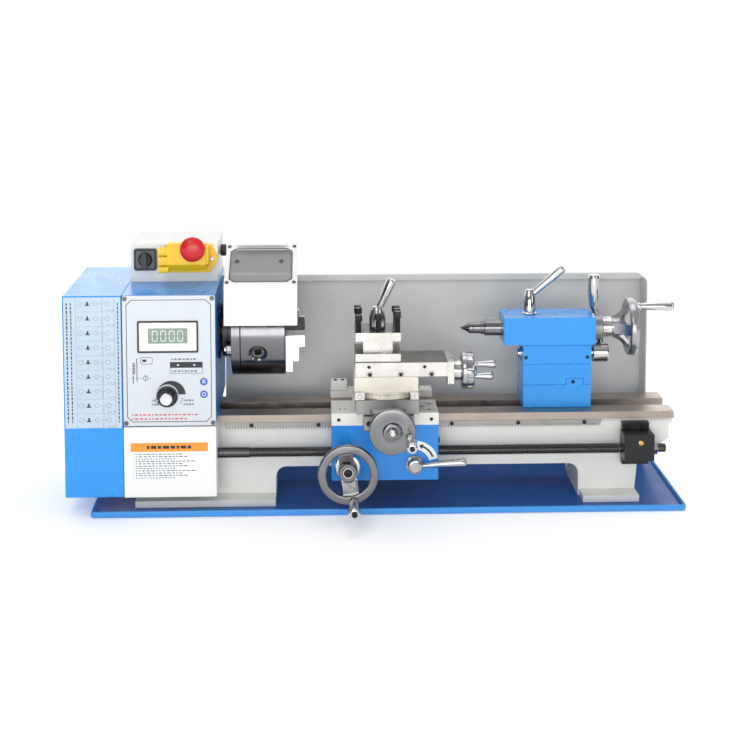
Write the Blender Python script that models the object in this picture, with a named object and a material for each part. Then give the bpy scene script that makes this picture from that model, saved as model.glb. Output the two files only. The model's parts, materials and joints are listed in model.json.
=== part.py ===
"""Bench metal lathe, 210 mm swing, on its chip tray.

X runs along the bed towards the tailstock, +Y away from the operator, +Z up. The origin is on the underside of
the chip tray, under the spindle axis and midway along the tray. Sizes below are in millimetres and every mesh is
scaled to metres when it is made. A moving piece has its origin on its joint's axis.
"""

import math

import bmesh
import bpy

MM = 0.001
GAP = 0.3                        # clearance left between neighbouring solids

# Driving dimensions
AXIS_Z = 235.0                   # spindle axis above the table; its Y is 0
BED_Z = 124.5                    # top of the bed ways
BED_LEFT, BED_RIGHT = -354.0, 403.0
WEB_TOP = 94.0                   # cross webs stay below the tailstock's clamp plate
HEAD_LEFT, HEAD_RIGHT = -364.0, -238.0
HEAD_FRONT, HEAD_BACK = -96.0, 122.0
HEAD_TOP = 304.5
CHUCK_RADIUS = 63.0
CHUCK_FACE = -143.6
JAW_ANGLES = (260.0, 20.0, 140.0)     # from +Y towards +Z
SCREW_Y, SCREW_Z = -68.0, 76.5        # leadscrew axis
IDLER_Y, IDLER_Z = -10.3, 145.6
MOTOR_Y, MOTOR_Z = 90.0, 72.0
SADDLE_LEFT, SADDLE_RIGHT = -80.5, 67.5
SADDLE_FRONT, SADDLE_TOP = -86.0, 135.0
CROSS_X, CROSS_Z = 0.0, 129.3         # cross-feed screw axis
SWIVEL_X, SWIVEL_Y = -4.5, -48.0      # compound swivel axis
COMPOUND_Z = 185.0                    # compound screw axis, at SWIVEL_Y
POST_X = -15.8                        # tool post axis, at SWIVEL_Y
APRON_WHEEL_X, APRON_WHEEL_Z = -58.6, 65.0
HALFNUT_X, HALFNUT_Z = 34.7, 52.0
CLAMP_Z = 198.0                       # tailstock eccentric shaft, at Y 0
LID_PIN = (-317.4, -24.0, 339.5)      # upright hinge of the stop switch lid
GEAR_MODULE = 2.0
SPINDLE_TEETH, IDLER_TEETH, LEADSCREW_TEETH = 24, 66, 24
PLANES = {"X": (1, 2), "Y": (0, 2), "Z": (0, 1)}

COLOURS = {
    "blue_paint": ((0.10, 0.42, 0.80), 0.35, 0.0),
    "tray_blue": ((0.06, 0.28, 0.66), 0.40, 0.0),
    "grey_paint": ((0.80, 0.80, 0.77), 0.45, 0.0),
    "cream_paint": ((0.86, 0.85, 0.80), 0.45, 0.0),
    "white_paint": ((0.88, 0.88, 0.86), 0.40, 0.0),
    "black_plastic": ((0.03, 0.03, 0.03), 0.45, 0.0),
    "yellow_plastic": ((0.95, 0.72, 0.05), 0.40, 0.0),
    "red_plastic": ((0.80, 0.05, 0.03), 0.35, 0.0),
    "ground_steel": ((0.55, 0.53, 0.50), 0.35, 1.0),
    "chrome": ((0.80, 0.80, 0.80), 0.15, 1.0),
    "cast_iron": ((0.45, 0.44, 0.42), 0.50, 1.0),
    "black_oxide": ((0.03, 0.03, 0.03), 0.40, 0.6),
    "aluminium": ((0.75, 0.75, 0.75), 0.30, 1.0),
    "belt_rubber": ((0.03, 0.03, 0.03), 0.80, 0.0),
}


# ---------------------------------------------------------------- shapes

def block(x, y, z):
    """A box from (low, high) pairs."""
    vertices = [(a, b, c) for a in x for b in y for c in z]
    faces = [(0, 1, 3, 2), (4, 6, 7, 5), (0, 4, 5, 1), (2, 3, 7, 6), (0, 2, 6, 4), (1, 5, 7, 3)]
    return vertices, faces


def prism(outline, axis, span):
    """An outline extruded along axis; its points are the two other coordinates, in X, Y, Z order."""
    along = "XYZ".index(axis)
    first, second = PLANES[axis]
    vertices = []
    for level in span:
        for a, b in outline:
            point = [0.0, 0.0, 0.0]
            point[along], point[first], point[second] = level, a, b
            vertices.append(tuple(point))
    count = len(outline)
    faces = [tuple(range(count)), tuple(range(count, 2 * count))]
    for i in range(count):
        j = (i + 1) % count
        faces.append((i, j, count + j, count + i))
    return vertices, faces


def turned(profile, axis, centre, sides=32):
    """A closed (along, radius) profile turned about a line parallel to axis through centre."""
    along = "XYZ".index(axis)
    first, second = PLANES[axis]
    vertices, rings = [], []
    for position, radius in profile:
        ring = []
        steps = 1 if radius == 0 else sides
        for k in range(steps):
            angle = 2 * math.pi * k / sides
            point = [0.0, 0.0, 0.0]
            point[along] = position
            point[first] = centre[0] + radius * math.cos(angle)
            point[second] = centre[1] + radius * math.sin(angle)
            ring.append(len(vertices))
            vertices.append(tuple(point))
        rings.append(ring)
    faces = []
    for low, high in zip(rings, rings[1:] + rings[:1]):
        if len(low) == 1 and len(high) == 1:
            continue
        for k in range(sides):
            a, b = low[k % len(low)], low[(k + 1) % len(low)]
            c, d = high[(k + 1) % len(high)], high[k % len(high)]
            corners = list(dict.fromkeys((a, b, c, d)))
            faces.append(tuple(corners))
    return vertices, faces


def drum(axis, centre, radius, span, sides=32):
    """A plain solid cylinder."""
    return turned([(span[0], 0), (span[0], radius), (span[1], radius), (span[1], 0)], axis, centre, sides)


def tube(axis, centre, outer, inner, span, sides=32):
    """A hollow cylinder."""
    profile = [(span[0], inner), (span[0], outer), (span[1], outer), (span[1], inner)]
    return turned(profile, axis, centre, sides)


def rod(start, end, start_radius, end_radius, sides=16):
    """A tapered bar between two points."""
    direction = [b - a for a, b in zip(start, end)]
    length = math.sqrt(sum(d * d for d in direction))
    unit = [d / length for d in direction]
    helper = (1.0, 0.0, 0.0) if abs(unit[0]) < 0.8 else (0.0, 1.0, 0.0)
    u = cross(unit, helper)
    size = math.sqrt(sum(c * c for c in u))
    u = [c / size for c in u]
    v = cross(unit, u)
    vertices = []
    for base, radius in ((start, start_radius), (end, end_radius)):
        for k in range(sides):
            angle = 2 * math.pi * k / sides
            c, s = radius * math.cos(angle), radius * math.sin(angle)
            vertices.append(tuple(base[i] + c * u[i] + s * v[i] for i in range(3)))
    faces = [tuple(range(sides)), tuple(range(sides, 2 * sides))]
    for k in range(sides):
        j = (k + 1) % sides
        faces.append((k, j, sides + j, sides + k))
    return vertices, faces


def cross(a, b):
    return [a[1] * b[2] - a[2] * b[1], a[2] * b[0] - a[0] * b[2], a[0] * b[1] - a[1] * b[0]]


def turn(shape, axis, centre, degrees):
    """The shape turned about a line parallel to axis through centre."""
    first, second = PLANES[axis]
    c, s = math.cos(math.radians(degrees)), math.sin(math.radians(degrees))
    vertices = []
    for vertex in shape[0]:
        point = list(vertex)
        a, b = point[first] - centre[0], point[second] - centre[1]
        point[first] = centre[0] + a * c - b * s
        point[second] = centre[1] + a * s + b * c
        vertices.append(tuple(point))
    return vertices, shape[1]


def gear_outline(teeth, centre, phase=0.0):
    """Trapezoid teeth; phase is in tooth pitches."""
    pitch = teeth * GEAR_MODULE / 2
    root, tip = pitch - 1.15 * GEAR_MODULE, pitch + 0.9 * GEAR_MODULE
    points = []
    for tooth in range(teeth):
        for offset, radius in ((-0.30, root), (-0.13, tip), (0.13, tip), (0.30, root)):
            angle = 2 * math.pi * (tooth + phase + offset) / teeth
            points.append((centre[0] + radius * math.cos(angle), centre[1] + radius * math.sin(angle)))
    return points


def bore_radius(shaft_radius, sides):
    """Hole radius that keeps GAP round a shaft when both have flat sides."""
    return (shaft_radius + GAP) / math.cos(math.pi / sides)


# ---------------------------------------------------------------- objects

def material(name):
    found = bpy.data.materials.get(name)
    if found:
        return found
    colour, roughness, metallic = COLOURS[name]
    made = bpy.data.materials.new(name)
    made.use_nodes = True
    shader = made.node_tree.nodes["Principled BSDF"]
    shader.inputs["Base Color"].default_value = (*colour, 1.0)
    shader.inputs["Roughness"].default_value = roughness
    shader.inputs["Metallic"].default_value = metallic
    made.diffuse_color = (*colour, 1.0)
    return made


def mesh_object(name, shape, origin, finish):
    """An object whose mesh is the shape and whose origin is at origin."""
    vertices, faces = shape
    mesh = bpy.data.meshes.new(name)
    local = [tuple((v[i] - origin[i]) * MM for i in range(3)) for v in vertices]
    mesh.from_pydata(local, [], faces)
    shell = bmesh.new()
    shell.from_mesh(mesh)
    bmesh.ops.recalc_face_normals(shell, faces=shell.faces)
    shell.to_mesh(mesh)
    shell.free()
    mesh.shade_smooth()
    mesh.set_sharp_from_angle(angle=math.radians(35))
    mesh.materials.append(material(finish))
    made = bpy.data.objects.new(name, mesh)
    made.location = [c * MM for c in origin]
    bpy.context.scene.collection.objects.link(made)
    return made


def solid(name, finish, shapes, cuts=(), origin=(0.0, 0.0, 0.0), late=(), late_cuts=()):
    """One named piece: the first shape, joined with the others, less the cuts, then the late ones likewise."""
    piece = mesh_object(name, shapes[0], origin, finish)
    steps = [(s, "UNION") for s in shapes[1:]] + [(s, "DIFFERENCE") for s in cuts]
    steps += [(s, "UNION") for s in late] + [(s, "DIFFERENCE") for s in late_cuts]
    for number, (shape, operation) in enumerate(steps):
        tool = mesh_object(f"{name}.tool{number}", shape, origin, finish)
        tool.hide_render = True
        tool.display_type = "WIRE"
        boolean = piece.modifiers.new(f"{operation.lower()} {number}", "BOOLEAN")
        boolean.operation = operation
        boolean.object = tool
    return piece


# ---------------------------------------------------------------- standing parts

def chip_tray():
    outer = block((-409, 409), (-112, 132), (0, 8.8))
    inner = block((-405.5, 405.5), (-108.5, 128.5), (2, 12))
    solid("chip_tray", "tray_blue", [outer], [inner])


def splash_guard():
    """Folded sheet: a hem at the top, an upright back, a lower panel that leans into the tray, and one wing."""
    right, top, radius = 393, 291.5, 9
    outline = [(126, 289.5), (126, 148), (111, 3), (113.2, 3), (128, 147.6), (128, 291.5), (118, 291.5), (118, 282),
               (120, 282), (120, 289.5)]
    sheet = prism(outline, "X", (HEAD_RIGHT + 0.4, right))
    wing_outline = [(84, 40), (84, 283), (86, 288.5), (91, 291.5), (127, 291.5), (127, 148), (112, 3), (100, 3)]
    wing = prism(wing_outline, "X", (391, right))
    corner = prism([*rounded((right - radius, top - radius), radius, 90), (right + 1, top - radius),
                    (right + 1, top + 1), (right - radius, top + 1)], "Y", (80, 130))
    solid("splash_guard", "grey_paint", [sheet, wing], [corner])


def rounded(corner, radius, start, steps=4):
    """A quarter arc of radius about corner, beginning at start degrees and turning clockwise."""
    angles = [math.radians(start - 90 * k / steps) for k in range(steps + 1)]
    return [(corner[0] + radius * math.cos(a), corner[1] + radius * math.sin(a)) for a in angles]


def bed_wall(front):
    """One side wall with its two feet and the arch between them."""
    outline = [(BED_LEFT, 110), (BED_LEFT, 2.3), (-158, 2.3)]
    outline += rounded((-144, 35), 14, 180)
    outline += rounded((255, 35), 14, 90)
    outline += [(269, 2.3), (349, 2.3), (353, 50), (362, 58), (398, 84), (398, 110)]
    return prism(outline, "Y", (-46, -38) if front else (38, 46))


def way_rail(side):
    """One ground way: a flat top with an overhanging front edge."""
    profile = [(52, 114), (52, BED_Z), (18, BED_Z), (18, 113), (33, 104), (45, 104), (45, 114)]
    return prism([(side * y, z) for y, z in profile], "X", (BED_LEFT, BED_RIGHT))


def bed_casting():
    shapes = [bed_wall(True), bed_wall(False), way_rail(-1), way_rail(1)]
    for left in (BED_LEFT, -166, 269, 341):
        shapes.append(block((left, left + 8), (-42, 42), (2.3, WEB_TOP)))
    for left in (-62, 48, 158):
        shapes.append(block((left, left + 6), (-42, 42), (56, WEB_TOP)))
    for left, right in ((-352, -158), (271, 350)):
        for near, far in ((-78, -42), (42, 78)):
            shapes.append(block((left, right), (near, far), (2.3, 11.5)))
    screw_way = drum("X", (SCREW_Y, SCREW_Z), 9.5, (BED_LEFT - 5, BED_LEFT + 20), 16)
    solid("bed_casting", "grey_paint", shapes, [screw_way])


def gear_rack():
    solid("gear_rack", "ground_steel", [block((-228, 300), (-51.5, -46.3), (104.5, 113.6))])


def leadscrew_bracket():
    plate = block((329, 367), (-58, -46.3), (50, 110))
    body = block((326, 368), (-90, -57), (64, 101))
    bore = drum("X", (SCREW_Y, SCREW_Z), bore_radius(6, 20), (320, 375), 20)
    solid("leadscrew_bracket", "black_oxide", [plate, body], [bore])


def headstock_casting():
    """A box open underneath, with bearing seats in both end walls, and the end plate that the covers meet."""
    box = block((HEAD_LEFT, HEAD_RIGHT), (HEAD_FRONT, HEAD_BACK), (BED_Z + GAP, HEAD_TOP))
    plate = block((HEAD_LEFT, HEAD_LEFT + 8), (HEAD_FRONT, HEAD_BACK), (26, HEAD_TOP))
    hollow = block((HEAD_LEFT + 22, HEAD_RIGHT - 16), (HEAD_FRONT + 8, HEAD_BACK - 8), (100, HEAD_TOP - 8))
    axis = (0, AXIS_Z)
    cuts = [hollow,
            drum("X", axis, bore_radius(31, 32), (HEAD_LEFT - 5, HEAD_LEFT + 30)),
            drum("X", axis, bore_radius(31, 32), (HEAD_RIGHT - 30, HEAD_RIGHT + 5)),
            drum("X", (SCREW_Y, SCREW_Z), 9.5, (HEAD_LEFT - 5, HEAD_LEFT + 20), 16),
            drum("X", (MOTOR_Y, MOTOR_Z), 15, (HEAD_LEFT - 5, HEAD_LEFT + 20), 16),
            block((BED_LEFT - GAP, BED_LEFT + 20), (-52.3, 52.3), (2, BED_Z + GAP)),
            drum("X", (MOTOR_Y, MOTOR_Z), 40, (HEAD_LEFT + 8, HEAD_RIGHT + 5), 32)]
    stud = rod((HEAD_LEFT + 4, IDLER_Y, IDLER_Z), (HEAD_LEFT - 24, IDLER_Y, IDLER_Z), 6, 6)
    solid("headstock_casting", "blue_paint", [box, plate, stud], cuts)


def spindle_bearings():
    for name, left in (("rear_bearing", HEAD_LEFT + 1), ("front_bearing", HEAD_RIGHT - 15.5)):
        ring = tube("X", (0, AXIS_Z), 31, bore_radius(15, 32), (left, left + 15))
        solid(name, "chrome", [ring])


def control_panel():
    top, bottom = HEAD_TOP - 0.5, 124.0
    plate = block((HEAD_LEFT, HEAD_RIGHT), (HEAD_FRONT - 3, HEAD_FRONT - GAP), (bottom, top))
    knob_hole = drum("Y", (-304, 165), 5, (HEAD_FRONT - 9, HEAD_FRONT + 3), 16)
    solid("control_panel", "aluminium", [plate], [knob_hole])


def front_cover():
    """Electrics cover under the control panel, open at the back; the leadscrew leaves through its right wall."""
    shell = block((HEAD_LEFT + 8.3, HEAD_RIGHT), (HEAD_FRONT - 3, -56), (24, 122.5))
    hollow = block((HEAD_LEFT + 10.8, HEAD_RIGHT - 2.5), (HEAD_FRONT - 0.5, -40), (26.5, 120))
    hole = drum("X", (SCREW_Y, SCREW_Z), 10, (HEAD_LEFT, HEAD_RIGHT + 5), 20)
    face = block((HEAD_LEFT, HEAD_RIGHT - 1), (HEAD_FRONT - 3, HEAD_FRONT - GAP), (24, 122.5))
    solid("front_cover", "cream_paint", [shell], [hollow, hole], late=[face])


def switch_box():
    shell = block((HEAD_LEFT + 1, -240), (0, 121), (HEAD_TOP + GAP, 358.5))
    hollow = block((HEAD_LEFT + 3, -242), (2, 119), (HEAD_TOP - 5, 356.5))
    knob_hole = drum("Y", (-342, 337), 5, (-5, 10), 16)
    solid("switch_box", "white_paint", [shell], [hollow, knob_hole])


def switch_housing():
    base = block((-315, -243), (-13.5, -GAP), (322, 357))
    stud_hole = drum("Y", (-272, 358), 4.6, (-20, -3), 16)
    solid("switch_housing", "yellow_plastic", [base], [stud_hole])


def drive_motor():
    can = drum("X", (MOTOR_Y, MOTOR_Z), 36, (HEAD_LEFT + 8.3, -246))
    nose = drum("X", (MOTOR_Y, MOTOR_Z), 13.5, (HEAD_LEFT + 1, HEAD_LEFT + 12))
    box = block((-330, -280), (MOTOR_Y - 18, MOTOR_Y + 18), (MOTOR_Z - 45, MOTOR_Z - 20))
    solid("drive_motor", "black_oxide", [can, nose, box])


def belt_run(radius_top, radius_bottom):
    """The outline of a belt round both pulleys, from the two outer tangents."""
    dy, dz = MOTOR_Y, MOTOR_Z - AXIS_Z
    distance = math.hypot(dy, dz)
    heading = math.atan2(dz, dy)
    lean = math.acos((radius_top - radius_bottom) / distance)
    points = []
    for k in range(17):
        angle = heading + lean + (2 * math.pi - 2 * lean) * k / 16
        points.append((radius_top * math.cos(angle), AXIS_Z + radius_top * math.sin(angle)))
    for k in range(13):
        angle = heading - lean + 2 * lean * k / 12
        points.append((MOTOR_Y + radius_bottom * math.cos(angle), MOTOR_Z + radius_bottom * math.sin(angle)))
    return points


BELT_SPAN = (-410.0, -398.0)
SPINDLE_PULLEY_RADIUS, MOTOR_PULLEY_RADIUS = 40.0, 20.0


def drive_belt():
    outer = prism(belt_run(SPINDLE_PULLEY_RADIUS + 4, MOTOR_PULLEY_RADIUS + 4), "X", BELT_SPAN)
    inner = prism(belt_run(SPINDLE_PULLEY_RADIUS + 0.9, MOTOR_PULLEY_RADIUS + 0.7), "X",
                  (BELT_SPAN[0] - 3, BELT_SPAN[1] + 3))
    solid("drive_belt", "belt_rubber", [outer], [inner])


def gear_cover():
    """Left end cover, open towards the headstock; hinged on its rear upright edge."""
    right = HEAD_LEFT - 0.4
    shell = block((-444, right), (-100, 126), (25, 304.5))
    hollow = block((-441.5, right + 5), (-97.5, 123.5), (27.5, 302))
    solid("gear_cover", "blue_paint", [shell], [hollow], origin=(HEAD_LEFT, 129, 164))


# ---------------------------------------------------------------- spindle and drive

def spindle():
    axis = (0, AXIS_Z)
    profile = [(-432, 10), (-432, 15), (-233, 15), (-233, 38), (-219.8, 38), (-219.8, 10)]
    solid("spindle", "ground_steel", [turned(profile, "X", axis, 24)], origin=(-330, 0, AXIS_Z))
    inner = bore_radius(15, 32)
    left, right = BELT_SPAN
    rim = SPINDLE_PULLEY_RADIUS
    pulley = [(left - 3, inner), (left - 3, rim + 6), (left - 1, rim + 6), (left - 1, rim), (right + 1, rim),
              (right + 1, rim + 6), (right + 3, rim + 6), (right + 3, inner)]
    solid("spindle_pulley", "cast_iron", [turned(pulley, "X", axis, 24)], origin=(-404, 0, AXIS_Z))


def change_gears():
    direction = math.degrees(math.atan2(IDLER_Z - AXIS_Z, IDLER_Y)) / 360
    spindle_phase = direction * SPINDLE_TEETH
    idler_phase = (direction + 0.5) * IDLER_TEETH + 0.5
    onward = math.degrees(math.atan2(SCREW_Z - IDLER_Z, SCREW_Y - IDLER_Y)) / 360
    mesh_turns = onward * IDLER_TEETH - idler_phase
    screw_phase = (onward + 0.5) * LEADSCREW_TEETH + 0.5 + mesh_turns
    wheels = (("spindle_gear", SPINDLE_TEETH, (0, AXIS_Z), spindle_phase, 15),
              ("idler_gear", IDLER_TEETH, (IDLER_Y, IDLER_Z), idler_phase, 6),
              ("leadscrew_gear", LEADSCREW_TEETH, (SCREW_Y, SCREW_Z), screw_phase, 6))
    for name, teeth, centre, phase, shaft in wheels:
        wheel = prism(gear_outline(teeth, centre, phase), "X", (-385, -375))
        bore = drum("X", centre, bore_radius(shaft, 24), (-395, -365), 24)
        solid(name, "ground_steel", [wheel], [bore], origin=(-380, *centre))


def motor_pulley():
    left, right = BELT_SPAN
    rim = MOTOR_PULLEY_RADIUS
    profile = [(left - 3, 0), (left - 3, rim + 5), (left - 1, rim + 5), (left - 1, rim), (right + 1, rim),
               (right + 1, rim + 5), (right + 3, rim + 5), (right + 3, 7), (HEAD_LEFT + 0.5, 7), (HEAD_LEFT + 0.5, 0)]
    solid("motor_pulley", "aluminium", [turned(profile, "X", (MOTOR_Y, MOTOR_Z), 24)],
          origin=(-390, MOTOR_Y, MOTOR_Z))


def chuck():
    axis = (0, AXIS_Z)
    origin = (-180, 0, AXIS_Z)
    plate = tube("X", axis, CHUCK_RADIUS, 16, (-219.5, -206.8), 48)
    solid("chuck_backplate", "ground_steel", [plate], origin=origin)
    body = [(-206.5, 50), (-206.5, CHUCK_RADIUS - 1), (-205.5, CHUCK_RADIUS), (CHUCK_FACE - 1.5, CHUCK_RADIUS),
            (CHUCK_FACE, CHUCK_RADIUS - 1.5), (CHUCK_FACE, 16), (-177.8, 16), (-177.8, 50)]
    slots = []
    for angle in JAW_ANGLES:
        slot = block((-178.5, CHUCK_FACE + 5), (5, CHUCK_RADIUS + 20), (AXIS_Z - 7, AXIS_Z + 7))
        slots.append(turn(slot, "X", axis, angle))
    solid("chuck_body", "ground_steel", [turned(body, "X", axis, 48)], slots, origin=origin)
    scroll = tube("X", axis, 49, 19, (-203, -178.2), 32)
    solid("chuck_scroll", "ground_steel", [scroll], origin=origin)


def chuck_jaws():
    """Stepped jaws: low outside, high inside, with a pointed inner end."""
    outline = [(9, -177.7), (60, -177.7), (60, CHUCK_FACE + 9), (45, CHUCK_FACE + 9), (45, -125.5), (25, -125.5),
               (25, -117.2), (9, -117.2)]
    for number, angle in enumerate(JAW_ANGLES, 1):
        plan = [(x, y) for y, x in outline]
        jaw = prism(plan, "Z", (AXIS_Z - 6.6, AXIS_Z + 6.6))
        tip_top = prism([(5, AXIS_Z + 2.5), (20, AXIS_Z + 20), (0, AXIS_Z + 20)], "X", (-185, -110))
        tip_low = prism([(5, AXIS_Z - 2.5), (20, AXIS_Z - 20), (0, AXIS_Z - 20)], "X", (-185, -110))
        parts = [turn(s, "X", (0, AXIS_Z), angle) for s in (jaw, tip_top, tip_low)]
        solid(f"chuck_jaw_{number}", "ground_steel", parts[:1], parts[1:], origin=(-150, 0, AXIS_Z))


def leadscrew():
    profile = [(-392, 0), (-392, 6), (-360, 6), (-360, 7.3), (324, 7.3), (324, 6), (388, 6), (388, 0)]
    solid("leadscrew", "ground_steel", [turned(profile, "X", (SCREW_Y, SCREW_Z), 20)],
          origin=(0, SCREW_Y, SCREW_Z))


# ---------------------------------------------------------------- guard and controls

GUARD_Y, GUARD_Z = 30.0, 345.0        # guard pivot axis


def chuck_guard():
    """Bent sheet: a sloping top, which is the clear window's frame, and an upright front."""
    outline = [(20, 354), (-71, 313), (-78, 257), (-76, 257), (-69.2, 311.8), (20, 352)]
    sheet = prism(outline, "X", (-228, -127))
    origin = (-178, GUARD_Y, GUARD_Z)
    solid("chuck_guard", "white_paint", [sheet], origin=origin)
    shaft = drum("X", (GUARD_Y, GUARD_Z), 5, (-239.7, -130), 16)
    strap = block((-213, -142), (8, 26), (354.4, 357.4))
    ears = [block((x, x + 4), (20.4, 35), (340, 357)) for x in (-213, -146)]
    solid("guard_arm", "cast_iron", [shaft, strap, *ears], origin=origin)


def knobs():
    speed = [(HEAD_FRONT - GAP, 0), (HEAD_FRONT - GAP, 3.5), (HEAD_FRONT - 3.5, 3.5), (HEAD_FRONT - 3.5, 14.5),
             (HEAD_FRONT - 8, 14.5), (HEAD_FRONT - 9, 10.5), (HEAD_FRONT - 18, 9.5), (HEAD_FRONT - 19, 8),
             (HEAD_FRONT - 19, 0)]
    solid("speed_knob", "black_plastic", [turned(speed, "Y", (-304, 165), 24)], origin=(-304, HEAD_FRONT - 3, 165))
    stem = drum("Y", (-342, 337), 3.5, (4, -8), 16)
    disc = drum("Y", (-342, 337), 13, (-7, -2), 24)
    grip = block((-345.5, -338.5), (-20, -6), (326, 348))
    solid("selector_knob", "black_plastic", [disc, stem, grip], origin=(-342, 0, 337))


def switch_lid():
    """Flip-open lid over the switch, hinged down its left side."""
    shell = prism([(-14, 364), (-14, 325), (-24, 325), (-33, 334.5), (-33, 364)], "X", (-308.5, -254.5))
    hinge = block((-321, -308), (-29, -19), (322, 357))
    hasp = block((-255, -251), (-28, -14), (331, 358))
    hollow = block((-306, -257), (-30.5, -5), (334.5, 361.5))
    stem_hole = drum("Y", (-272, 358), 4.7, (-40, -10), 16)
    solid("switch_lid", "yellow_plastic", [shell, hinge, hasp], [hollow, stem_hole], origin=LID_PIN)
    button = [(-15, 0), (-15, 4), (-36, 4), (-37, 15), (-40, 17.4), (-46, 17.4), (-51, 14), (-52.5, 8), (-52.5, 0)]
    solid("stop_button", "red_plastic", [turned(button, "Y", (-272, 358), 24)], origin=(-272, -36, 358))


# ---------------------------------------------------------------- carriage

def saddle():
    top = block((SADDLE_LEFT, SADDLE_RIGHT), (SADDLE_FRONT, 62), (BED_Z + GAP, SADDLE_TOP))
    lip = block((SADDLE_LEFT, SADDLE_RIGHT), (SADDLE_FRONT, -54.5), (118, SADDLE_TOP - 2))
    keeper = block((SADDLE_LEFT, SADDLE_RIGHT), (53, 62), (110, SADDLE_TOP - 2))
    web = block((-44, 38), (-16.5, 16.5), (113, SADDLE_TOP - 2))
    tail = [(-24, 134), (-28, 142), (21, 142), (17, 134)]
    dovetail = prism(tail, "Y", (SADDLE_FRONT, 62))
    waists = [block((SADDLE_LEFT - 5, -50), (-17, 36), (90, 150)), block((42, SADDLE_RIGHT + 5), (-17, 36), (90, 150))]
    screw_slot = block((CROSS_X - 7, CROSS_X + 7), (-95, 70), (BED_Z + 0.1, 150))
    solid("saddle", "grey_paint", [top, lip, keeper, web, dovetail], [*waists, screw_slot])


def apron():
    shell = block((SADDLE_LEFT, SADDLE_RIGHT), (-84, -56), (39.5, 117.7))
    pocket = block((SADDLE_LEFT + 7, SADDLE_RIGHT - 7), (-78, -50), (45, 112))
    screw_way = drum("X", (SCREW_Y, SCREW_Z), 9.5, (SADDLE_LEFT - 10, SADDLE_RIGHT + 10), 20)
    wheel_hole = drum("Y", (APRON_WHEEL_X, APRON_WHEEL_Z), bore_radius(6, 16), (-95, -70), 16)
    lever_hole = drum("Y", (HALFNUT_X, HALFNUT_Z + 10), bore_radius(4.5, 16), (-95, -70), 16)
    solid("apron", "blue_paint", [shell], [pocket, screw_way, wheel_hole, lever_hole])


def spoked_wheel(axis, centre, reach, hub, rim, spokes, spoke_width, first_angle, sides=32):
    """A dished wheel: reach is (rim low, rim high, hub low, hub high) along the axis."""
    rim_low, rim_high, hub_low, hub_high = reach
    ring = tube(axis, centre, rim, rim - 8, (rim_low, rim_high), sides)
    boss = drum(axis, centre, hub, (hub_low, hub_high), 24)
    shapes = [ring, boss]
    first, second = PLANES[axis]
    along = "XYZ".index(axis)
    middle_rim, middle_hub = (rim_low + rim_high) / 2, (hub_low + hub_high) / 2
    for k in range(spokes):
        angle = math.radians(first_angle + 360 * k / spokes)
        start, end = [0.0] * 3, [0.0] * 3
        start[along], end[along] = middle_hub, middle_rim
        for point, radius in ((start, hub - 4), (end, rim - 4.5)):
            point[first] = centre[0] + radius * math.cos(angle)
            point[second] = centre[1] + radius * math.sin(angle)
        shapes.append(rod(start, end, spoke_width, spoke_width * 0.8, 12))
    return shapes


def crank_handle(name, axis, root, length, base, grip):
    """A turned handle standing on a wheel's rim."""
    along = "XYZ".index(axis)
    first, second = PLANES[axis]
    start = root[along]
    direction = 1 if length > 0 else -1
    profile = [(start, 0), (start, base), (start + 0.12 * length, base), (start + 0.8 * length, grip),
               (start + length - direction * 2, grip), (start + length, grip - 2), (start + length, 0)]
    centre = (root[first], root[second])
    solid(name, "chrome", [turned(profile, axis, centre, 20)], origin=root)


def apron_wheel():
    centre = (APRON_WHEEL_X, APRON_WHEEL_Z)
    shapes = spoked_wheel("Y", centre, (-141, -132, -132, -108), 13, 41, 2, 8, 82)
    shapes.append(drum("Y", centre, 18, (-108.5, -99), 32))
    shapes.append(drum("Y", centre, 6, (-99.5, -74), 16))
    solid("apron_handwheel", "chrome", shapes, origin=(*centre[:1], -130, centre[1]))
    crank_handle("apron_handle", "Y", (-51.5, -141.3, 30), -56, 4.5, 7)


def half_nut():
    lever_z = HALFNUT_Z + 10
    hub = turned([(-77, 0), (-77, 4.5), (-84.4, 4.5), (-84.4, 10), (-100, 10), (-102, 8), (-102, 0)], "Y",
                 (HALFNUT_X, lever_z), 24)
    arm = rod((HALFNUT_X + 4, -94, lever_z), (105, -99, lever_z + 6), 3.5, 6.3)
    solid("halfnut_lever", "chrome", [hub, arm], origin=(HALFNUT_X, -90, lever_z))
    opened = 4.4                      # each half's travel to the closed screw
    for name, side in (("half_nut_upper", 1), ("half_nut_lower", -1)):
        half = block((18, 52), (-76.5, -59.5), sorted((SCREW_Z + side * 5, SCREW_Z + side * 24)))
        bore = drum("X", (SCREW_Y, SCREW_Z + side * opened), bore_radius(7.4, 20), (0, 70), 20)
        solid(name, "cast_iron", [half], [bore], origin=(35, SCREW_Y, SCREW_Z + side * 14))


def cross_slide():
    body = block((-46.5, 39.5), (-95, 60), (SADDLE_TOP + 0.4, 155))
    channel = prism([(-24.6, 134), (-28.6, 142.5), (21.6, 142.5), (17.6, 134)], "Y", (-110, 80))
    nut = block((CROSS_X - 6, CROSS_X + 6), (10, 34), (126, 150))
    screw = drum("Y", (CROSS_X, CROSS_Z), bore_radius(4, 16), (0, 50), 16)
    solid("cross_slide", "cast_iron", [body], [channel], late=[nut], late_cuts=[screw])


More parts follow.
